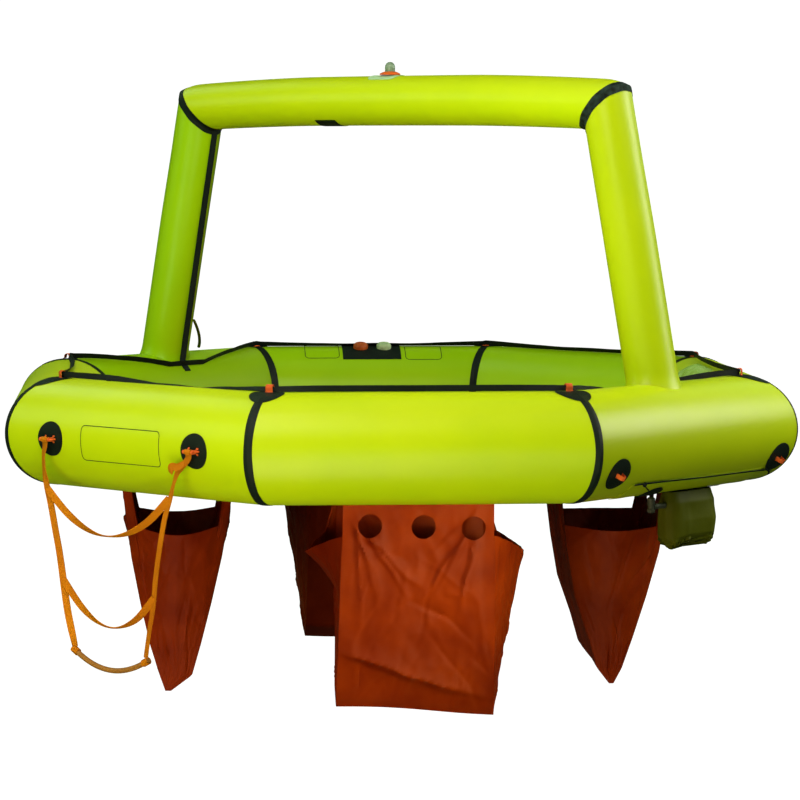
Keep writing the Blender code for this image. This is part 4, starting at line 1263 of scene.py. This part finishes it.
    def rung(self, points: Sequence[Vector]) -> None:
        """Bend the stiff bottom rung, with rounded ends."""
        def place(turn: float, share: float) -> Vector:
            i = round(share * (len(points) - 1))
            up = heading(points, i).cross(self.tube.out).normalized()
            end = 1.0 if 0 < i < len(points) - 1 else 0.82
            return points[i] + circle(turn, up, self.tube.out) * self.rung_radius * end

        piece = Shop.drum("ladder_rung", 32, len(points) - 2, place, (0.047, 0.33))
        self.dress(piece, RUNG, ["ladder_bottom_rung"])

    def staple(self, side: str, distance: float) -> None:
        """Bend the bar that the ladder's eye swings on, and its two tabs."""
        seat, top, half, bend = self.layout.radius + 0.0019, self.layout.radius + self.out, 0.0190, 0.006
        path = [(-half, seat), (-half, 0.5 * (seat + top - bend)), (-half, top - bend)]
        for turn in (0.25 * math.pi * step / 3.0 for step in range(1, 7)):
            path.append((-half + bend * (1.0 - math.cos(turn)), top - bend + bend * math.sin(turn)))
        path += [(-x, y) for x, y in reversed(path)]
        centre = self.tube.start + distance * self.tube.along + UP * self.drop
        points = [centre + self.tube.along * x + self.tube.out * y for x, y in path]

        def place(turn: float, share: float) -> Vector:
            i = round(share * (len(points) - 1))
            return points[i] + self.bar_radius * circle(turn, heading(points, i).cross(UP).normalized(), UP)

        piece = Shop.drum(f"ladder_bar_{side}", 16, len(points) - 2, place, (0.02, 0.08))
        self.dress(piece, LOOP, [f"ladder_staple_{side}"])
        for number, reach in enumerate((-0.0155, 0.0155)):
            foot = centre + self.tube.along * reach + self.tube.out * (seat + 0.0004)
            name, high = f"ladder_tab_{side}_{number}", top - seat + 0.0050
            self.strap_loop(name, foot, self.tube.out, UP, 0.0075, 0.0070, high, [])


@dataclass
class Fittings(SubAssembly):
    """The gas bag and its flap, the valves, the side loops, the pouch, labels and floor."""

    bag_levels: tuple[tuple[float, float, float], ...] = (
        (-0.0005, 0.099, 0.026), (-0.030, 0.104, 0.040), (-0.080, 0.105, 0.046),
        (-0.122, 0.103, 0.043), (-0.146, 0.099, 0.033), (-0.154, 0.091, 0.018),
    )
    neck: Marks = (
        (0.0088, 0.0), (0.0090, 0.001), (0.0090, 0.006), (0.0086, 0.007), (0.0078, 0.008), (0.0078, 0.050),
    )
    valve: Marks = (
        (0.0080, -0.0520), (0.0095, -0.0515), (0.0118, -0.0490), (0.0118, -0.0415), (0.0112, -0.0410),
        (0.0100, -0.0400), (0.0100, -0.0310), (0.0112, -0.0300), (0.0118, -0.0295), (0.0118, -0.0125),
        (0.0095, -0.0100), (0.0080, -0.0090),
    )
    cap: Marks = (
        (0.0232, 0.0), (0.0235, 0.0014), (0.0235, 0.0090), (0.0226, 0.0112), (0.0198, 0.0144),
        (0.0186, 0.0156), (0.0126, 0.0172), (0.0072, 0.0166), (0.0070, 0.0156), (0.0036, 0.0156),
    )
    hose_route: tuple[tuple[float, float, float], ...] = (
        (-0.5765, 0.650, 0.380), (-0.5600, 0.680, 0.345), (-0.5540, 0.730, 0.312), (-0.5600, 0.785, 0.2885),
    )
    labels: tuple[tuple[str, str, Mark, Mark], ...] = (
        ("boarding", "front_left", (0.240, 0.540), (-22.0, 16.0)),
        ("relief", "back", (0.154, 0.272), (96.0, 132.0)),
        ("topping", "back", (0.483, 0.5945), (87.0, 129.0)),
    )
    label_corner: float = 0.014
    label_line: float = 0.0022
    floor_z: float = -0.0162

    def build(self) -> None:
        """Build the fittings."""
        tube = self.layout.tubes["front_right"]
        self.side_loops(tube)
        self.gas_bag(tube)
        self.gas_head(tube)
        self.flap(tube)
        self.valves(self.layout.tubes["back"])
        self.pouch(self.layout.tubes["right"])
        self.hose()
        self.floor()
        for name, segment, along, degrees in self.labels:
            self.label(name, self.layout.tubes[segment], along, degrees)

    def side_loops(self, tube: Tube) -> None:
        """Fix the two loops low on the front right segment."""
        for name, distance, degrees in (("near", 0.040, -27.0), ("far", 0.794, -31.0)):
            self.patch(f"side_pad_{name}", tube, (distance, degrees), 0.047, 0.0006, [f"side_patch_{name}"])
            foot = tube.at(distance, degrees, self.layout.radius + 0.0024)
            self.strap_loop(f"side_{name}_loop", foot, tube.normal(degrees), tube.along, 0.014, 0.014, 0.020,
                            [f"side_loop_{name}"])

    def gas_bag(self, tube: Tube) -> None:
        """Sew the padded bag of the gas cylinder, with its crinkled lower strip."""
        levels = self.bag_levels
        middle = tube.start + tube.along * 0.4917

        def place(turn: float, share: float) -> Vector:
            at = share * (len(levels) - 1)
            i = min(int(at), len(levels) - 2)
            depth, half, thick = (a + (b - a) * (at - i) for a, b in zip(levels[i], levels[i + 1]))
            x = half * math.copysign(abs(math.cos(turn)) ** 0.45, math.cos(turn))
            y = thick * math.copysign(abs(math.sin(turn)) ** 0.8, math.sin(turn))
            spot = middle + tube.along * x + tube.out * (0.030 + y)
            spot.z = self.layout.axis_z - self.layout.radius + depth
            if share <= 0.0:
                return spot
            fade = min(1.0, 4.0 * share)
            crease = 0.006 * fade * noise.noise(spot * 16.0)
            crease += 0.0035 * fade * ripple(spot.x * 55.0, spot.y * 55.0, spot.z * 12.0)
            if share > 0.62:
                crease += 0.028 * min(1.0, (share - 0.62) * 9.0) * (abs(noise.noise(spot * 66.0)) - 0.25)
            side = Vector((spot.x - middle.x, spot.y - middle.y, 0.0)).normalized()
            return spot + side * crease + Vector((0.0, 0.0, -0.006 * math.sin(3.0 * turn) * share))

        piece = Shop.drum("cylinder_bag", 110, 52, place, (0.6, 0.16))
        self.dress(piece, OLIVE, ["gas_bag"], smooth=60.0)

    def gas_head(self, tube: Tube) -> None:
        """Turn the inflation head and the neck that joins it to the cylinder."""
        lowest = self.layout.axis_z - self.layout.radius
        start = tube.start + tube.along * 0.4917 - tube.along * 0.1050 + tube.out * 0.030
        start.z = lowest - 0.036
        foot = start - tube.along * 0.0605
        foot.z = lowest

        def flats(turn: float, radius: float, high: float) -> float:
            return 0.0007 - (0.0007 * math.cos(6.0 * turn) if high < -0.0405 and radius > 0.011 else 0.0)

        head = Shop.lathe("cylinder_head", 48, self.valve, foot, (tube.out, tube.along, UP), flats)
        neck = Shop.lathe("cylinder_neck", 40, self.neck, start, (tube.out, UP, -tube.along),
                          lambda turn, radius, high: 0.0)
        Shop.combine(head, neck, "UNION")
        self.dress(head, HEAD, ["inflation_head"])

    def flap(self, tube: Tube) -> None:
        """Close the pocket's flap over the cylinder, with its slits, hem, cord, knot and round patch; the
        slits are not cut, and black ribbons of painted shade stand for their dark gaps.
        """
        def lid(u: float, v: float) -> Vector:
            edge = min(u, 1.0 - u, v, 1.0 - v)
            puff = 0.0012 * min(1.0, edge * 12.0) + 0.0012 * ripple(u * 9.0, v * 2.5, 0.3)
            return tube.at(0.130 + 0.618 * u, -78.0 + 35.0 * v, self.layout.radius + 0.0016 + puff)

        piece = Shop.grid("cylinder_flap", 60, 14, lid, (0.618, 0.09))
        self.lay(piece, CLOTH, tube.away, LIME, ["pocket_flap"])
        slit = [(0.140 + 0.632 * t, -42.9 - 3.6 * t + 0.35 * math.sin(9.0 * t))
                for t in (i / 48.0 for i in range(49))]
        slit += [(0.780, -47.5), (0.792, -50.0), (0.804, -53.5), (0.8130, -57.0)]
        hem = [(distance, degrees - 2.1) for distance, degrees in slit[3:46]]
        cord = [(0.184, -43.4), (0.205, -49.0), (0.226, -53.5), (0.246, -58.0), (0.262, -62.0)]
        # Painted shade: a black ribbon along the flap's upper and end edges stands for the shaded gap of the
        # slit.
        self.ribbon("flap_slit", tube, slit, 0.0056, TAPE)
        self.ribbon("flap_hem", tube, hem, 0.0022, LIME)
        self.ribbon("flap_cord", tube, cord, 0.0036, TAPE)
        knot = tube.at(0.184, -43.3, self.layout.radius + 0.0062)
        bpy.ops.mesh.primitive_ico_sphere_add(subdivisions=3, radius=0.0062, location=(0.0, 0.0, 0.0))
        piece = Shop.named("flap_knot")
        for vertex in piece.data.vertices:
            vertex.co = knot + vertex.co * (1.0 + 0.35 * noise.noise(vertex.co * 320.0))
        self.dress(piece, LINE)
        self.patch("valve_round_pad", tube, (0.277, -68.0), 0.040, 0.0052)
        low = [(0.345 + 0.297 * i / 12.0, -71.5 - 7.0 * i / 12.0) for i in range(13)]
        # Painted shade: a black ribbon stands for the shaded gap of the low slit.
        self.ribbon("flap_low_slit", tube, low, 0.0060, TAPE)

    def ribbon(self, name: str, tube: Tube, marks: Marks, wide: float, finish: Finish) -> None:
        """Lay a narrow ribbon on a tube through marks of distance and degrees."""
        points = [tube.at(distance, degrees, self.layout.radius + 0.0042) for distance, degrees in marks]

        def place(u: float, v: float) -> Vector:
            i = round(u * (len(points) - 1))
            side = heading(points, i).cross(tube.away(points[i]).normalized())
            return points[i] + side * (wide * (v - 0.5))

        piece = Shop.grid(name, len(points) - 1, 2, place, (0.3, wide))
        self.lay(piece, CLOTH, tube.away, finish, offset=0.0)

    def valves(self, tube: Tube) -> None:
        """Lay the valve patch and set its two ribbed caps."""
        def pad(u: float, v: float) -> Vector:
            return tube.at(tube.length - 0.4665 + 0.1875 * u, 86.0 + 45.0 * v, self.layout.radius + 0.0006)

        def ribs(turn: float, radius: float, high: float) -> float:
            return 0.0011 * max(0.0, math.cos(16.0 * turn)) if 0.0165 < radius and high > 0.001 else 0.0

        piece = Shop.grid("valve_pad", 16, 16, pad, (0.19, 0.12))
        self.lay(piece, PATCH, tube.away, TAPE, ["valve_patch"])
        normal = tube.normal(105.0)
        axes = (tube.along, normal.cross(tube.along), normal)
        for name, distance, finish in (("relief", 0.339, CAP_ORANGE), ("topping", 0.414, CAP)):
            foot = tube.at(tube.length - distance, 105.0, self.layout.radius + 0.0022)
            piece = Shop.lathe(f"{name}_cap", 96, self.cap, foot, axes, ribs)
            self.dress(piece, finish, [f"valve_cap_{name}"], smooth=50.0)

    def pouch(self, tube: Tube) -> None:
        """Lay the clear film pouch inside the right segment."""
        def film(u: float, v: float) -> Vector:
            edge = max(0.0, math.sin(math.pi * u) * math.sin(math.pi * v)) ** 0.6
            puff = edge * (0.010 + 0.004 * ripple(u * 9.0, v * 6.0, 1.2))
            return tube.at(0.27 + 0.28 * u, 104.0 + 36.0 * v, self.layout.radius + 0.0006 + puff)

        piece = Shop.grid("film_pouch", 44, 20, film, (0.28, 0.09))
        Shop.thicken(piece, CLOTH, tube.away)
        self.dress(piece, POUCH, ["pouch"], smooth=30.0)

    def hose(self) -> None:
        """Bend the small hose at the left leg."""
        route = [Vector(mark) for mark in self.hose_route]
        first, second = Vector((0.96, 0.28, 0.0)), Vector((-0.2, 0.68, 0.70))

        def place(turn: float, share: float) -> Vector:
            weights = ((1 - share) ** 3, 3 * share * (1 - share) ** 2, 3 * share**2 * (1 - share), share**3)
            spot = sum((p * w for p, w in zip(route, weights)), Vector())
            return spot + 0.0050 * circle(turn, first, second)

        piece = Shop.drum("arch_hose_line", 16, 20, place, (0.02, 0.2))
        self.dress(piece, OLIVE, ["arch_hose"])

    def label(self, name: str, tube: Tube, along: Mark, degrees: Mark) -> None:
        """Print the thin round-cornered outline of a blank label."""
        high = math.radians(degrees[1] - degrees[0]) * self.layout.radius
        wide, corner = along[1] - along[0], self.label_corner
        corners = []
        for number, (cx, cy) in enumerate(((1, 1), (-1, 1), (-1, -1), (1, -1))):
            centre = Vector((cx * (0.5 * wide - corner), cy * (0.5 * high - corner)))
            for turn in (0.5 * math.pi * (number + step / 6.0) for step in range(7)):
                ray = Vector((math.cos(turn), math.sin(turn)))
                corners.append((centre + ray * corner, ray))
        path = []
        for (spot, ray), (ahead, _) in zip(corners, corners[1:] + corners[:1]):
            steps = max(1, math.ceil((ahead - spot).length / 0.006))
            path += [(spot.lerp(ahead, k / steps), ray) for k in range(steps)]
        count = len(path)

        def place(u: float, v: float) -> Vector:
            spot, ray = path[round(u * count) % count]
            mark = spot - ray * (self.label_line * v)
            turn = 0.5 * sum(degrees) + math.degrees(mark.y / self.layout.radius)
            return tube.at(0.5 * sum(along) + mark.x, turn, self.layout.radius + 0.0010)

        piece = Shop.grid(f"label_{name}", count, 1, place, (0.8, self.label_line))
        Shop.apply(piece, "SUBSURF", levels=1, render_levels=1, subdivision_type="SIMPLE")
        self.lay(piece, 0.0004, tube.away, INK)

    def floor(self) -> None:
        """Stretch the floor sheet between the undersides of the tubes."""
        corners = []
        for bend in self.layout.bends.values():
            cosine = bend.arms[0].dot(bend.inside)
            inset = 0.0442 / math.sqrt(1.0 - cosine**2)
            corners.append(bend.point + bend.inside * inset)

        def rim(turn: float) -> float:
            """Give the floor's reach in a direction."""
            ray = Vector((math.cos(turn), math.sin(turn)))
            for a, b in zip(corners, corners[1:] + corners[:1]):
                p, d = Vector(a.xy), Vector((b - a).xy)
                cross = ray.x * d.y - ray.y * d.x
                if abs(cross) < 1e-9:
                    continue
                t = (p.x * d.y - p.y * d.x) / cross
                s = (p.x * ray.y - p.y * ray.x) / cross
                if t > 0.0 and -1e-6 <= s <= 1.0 + 1e-6:
                    return t
            return 0.96

        def place(u: float, v: float) -> Vector:
            reach = rim(TAU * u) * v
            spot = Vector((math.cos(TAU * u) * reach, math.sin(TAU * u) * reach, self.floor_z))
            spot.z += (1.0 - v**4) * (0.0035 * noise.noise(spot * 3.0) + 0.0014 * noise.noise(spot * 9.0))
            return spot

        piece = Shop.grid("floor_cloth", 128, 44, place, (5.0, 0.9))
        self.lay(piece, 0.0024, lambda p: UP, FLOOR, ["floor_sheet"], offset=0.0)


@dataclass(frozen=True)
class Lamp:
    """One soft square light, with the pieces that it is kept from, or the only ones that it is for."""

    name: str
    place: tuple[float, float, float]
    target: tuple[float, float, float]
    size: float
    power: float
    colour: Colour
    shuns: tuple[str, ...] = ()
    only: tuple[str, ...] = ()
    spread: float = 180.0
    glossy: bool = True


HANGING = ("water_bag", "cylinder_", "studio", "segment_front_right")
REAR = ("segment_back", "arch_left", "studio")
NEAR = ("arch_", "studio", "water_bag_right", "water_bag_left", "water_bag_front", "cylinder_")
LAMPS = (
    Lamp("top_left", (-1.2, -1.8, 2.8), (-0.2, -0.5, 0.0), 1.5, 58.0, (1.0, 0.84, 0.70), REAR),
    Lamp("top_right", (1.8, -1.6, 2.6), (0.3, -0.4, 0.0), 1.5, 22.0, (1.0, 0.84, 0.80), REAR),
    Lamp("top_front", (-0.8, -2.6, 2.0), (0.0, -0.9, 0.0), 1.2, 26.0, (1.0, 0.88, 0.80), REAR),
    Lamp("right_near", (2.9, -0.4, 1.4), (0.6, 0.0, 0.0), 1.5, 48.0, (1.0, 0.94, 0.80), REAR),
    Lamp("right_far", (4.76, 0.0, 2.85), (0.0, 0.0, 0.1), 2.0, 32.0, (0.75, 1.0, 0.80)),
    Lamp("left", (-5.1, 0.0, 2.20), (0.0, 0.0, 0.1), 2.0, 40.0, (0.60, 1.0, 0.55)),
    Lamp("back_left", (-2.9, 2.9, 3.4), (0.0, 0.0, 0.1), 2.0, 30.0, (0.58, 1.0, 0.60)),
    Lamp("back_right", (3.5, 3.5, 2.4), (0.0, 0.0, 0.1), 2.0, 14.0, (0.60, 1.0, 0.60)),
    Lamp("over", (0.0, 0.0, 3.4), (0.0, 0.0, 0.0), 1.8, 8.0, (0.60, 1.0, 0.50)),
    Lamp("low_near", (-0.5, -3.0, -1.4), (0.0, -0.8, 0.0), 1.5, 30.0, (1.0, 0.90, 0.60),
         (*REAR, "water_bag_front", "water_bag_back")),
    Lamp("low_left", (-1.8, -2.8, -0.6), (-0.3, -0.7, 0.0), 1.5, 22.0, (1.0, 0.55, 0.30), REAR),
    Lamp("low_far", (-3.8, -3.8, -0.95), (0.0, 0.0, 0.1), 2.0, 54.0, (0.62, 1.0, 0.50), HANGING),
    Lamp("low_front", (0.0, -5.4, -0.95), (0.0, 0.0, 0.2), 2.0, 46.0, (0.72, 1.0, 0.50), HANGING),
    Lamp("behind", (0.8, 5.2, 2.4), (0.0, 0.6, 0.2), 2.5, 90.0, (0.92, 1.0, 0.70), NEAR, glossy=False),
    Lamp("behind_low", (-1.5, 5.0, -0.4), (0.0, 0.6, 0.0), 2.5, 40.0, (0.92, 1.0, 0.70), NEAR, glossy=False),
    Lamp("back_fill", (-1.2, -4.6, 2.6), (-0.2, 0.5, 0.3), 2.0, 185.0, (0.74, 1.0, 0.45),
         only=("segment_back", "arch_left_leg")),
    Lamp("arch_fill", (-0.3, -2.2, -0.9), (0.0, 0.0, 1.1), 1.5, 32.0, (0.85, 1.0, 0.50), only=("arch_top",)),
    Lamp("bag_key", (1.25, -2.2, -0.28), (-0.02, -0.8, -0.16), 0.45, 2.3, (1.0, 0.96, 0.50),
         only=("water_bag_front",), spread=42.0),
)


@dataclass
class Studio:
    """The pale sweep, the soft lights and the camera."""

    place: Vector = field(default_factory=lambda: Vector((-0.70016, -9.50816, 0.94338)))
    yaw: float = math.radians(4.334)
    pitch: float = math.radians(-4.579)
    roll: float = math.radians(0.109)
    lens: float = 146.22
    sensor: float = 36.0
    far: float = 100.0
    ambient: Colour = (0.6, 1.0, 0.7)
    ambient_strength: float = 0.03
    floor_z: float = -0.665
    stage_flat: float = 20.0
    stage_bend: float = 5.0
    stage_run: float = 60.0
    hung: list[tuple[Lamp, Piece]] = field(default_factory=list)

    def build(self) -> None:
        """Set the camera, the sweep and the lights."""
        self.camera()
        self.sweep()
        world = bpy.data.worlds.new("studio")
        world.use_nodes = True
        backdrop = world.node_tree.nodes["Background"].inputs
        backdrop["Color"].default_value = (*self.ambient, 1.0)
        backdrop["Strength"].default_value = self.ambient_strength
        bpy.context.scene.world = world
        bpy.context.scene.view_settings.view_transform = "Standard"
        for lamp in LAMPS:
            self.hang(lamp)

    def camera(self) -> None:
        """Place the camera as the photograph was taken."""
        level = math.cos(self.pitch)
        ahead = Vector((math.sin(self.yaw) * level, math.cos(self.yaw) * level, math.sin(self.pitch)))
        right = ahead.cross(UP).normalized()
        up = right.cross(ahead)
        right, up = circle(self.roll, right, up), circle(self.roll, up, -right)
        bpy.ops.object.camera_add()
        camera = bpy.context.object
        camera.data.lens = self.lens
        camera.data.sensor_width = self.sensor
        camera.data.clip_end = self.far
        turned = Matrix((right, up, -ahead)).transposed().to_4x4()
        camera.matrix_world = Matrix.Translation(self.place) @ turned
        bpy.context.scene.camera = camera

    def sweep(self) -> None:
        """Roll out the pale floor, which curves up all round."""
        def place(u: float, v: float) -> Vector:
            run = self.stage_run * v
            turn = clamp((run - self.stage_flat) / self.stage_bend, 0.0, 0.5 * math.pi)
            wall = max(0.0, run - self.stage_flat - 0.5 * math.pi * self.stage_bend)
            reach = min(run, self.stage_flat) + self.stage_bend * math.sin(turn)
            high = self.stage_bend * (1.0 - math.cos(turn)) + wall
            return Vector((reach * math.cos(TAU * u), -reach * math.sin(TAU * u), self.floor_z + high))

        piece = Shop.grid("studio_sweep", 64, 120, place, (TAU * self.stage_flat, self.stage_run))
        piece.data.materials.append(STAGE.material())
        Shop.only(piece)
        bpy.ops.object.shade_smooth()
        piece.visible_diffuse = piece.visible_glossy = piece.visible_shadow = False

    def hang(self, lamp: Lamp) -> None:
        """Hang one light."""
        bpy.ops.object.light_add(type="AREA", location=lamp.place)
        made = bpy.context.object
        made.name = lamp.name
        made.data.size = lamp.size
        made.data.energy = lamp.power
        made.data.color = lamp.colour
        made.data.spread = math.radians(lamp.spread)
        made.rotation_euler = (Vector(lamp.target) - Vector(lamp.place)).to_track_quat("-Z", "Y").to_euler()
        made.visible_glossy = lamp.glossy
        self.hung.append((lamp, made))

    def aim(self) -> None:
        """Keep each light to the pieces that it is there for, as flags would on a set."""
        pieces = [piece for piece in bpy.data.objects if piece.type == "MESH"]
        for lamp, made in self.hung:
            if not lamp.shuns and not lamp.only:
                continue
            group = bpy.data.collections.new(f"{lamp.name}_receivers")
            for piece in pieces:
                if piece.name.startswith(lamp.only) if lamp.only else not piece.name.startswith(lamp.shuns):
                    group.objects.link(piece)
            made.light_linking.receiver_collection = group


def main() -> None:
    """Build every sub-assembly and report its pieces."""
    logging.basicConfig(level=logging.INFO, format="%(name)s %(message)s")
    layout = Layout()
    studio = Studio()
    studio.build()
    for kind in (BuoyancyRing, CanopyArch, BallastBags, Lifeline, BoardingLadder, Fittings):
        group = kind(layout)
        group.build()
        log.info("%s: %d pieces", kind.__name__, len(group.pieces))
    studio.aim()


if __name__ == "__main__":
    main()
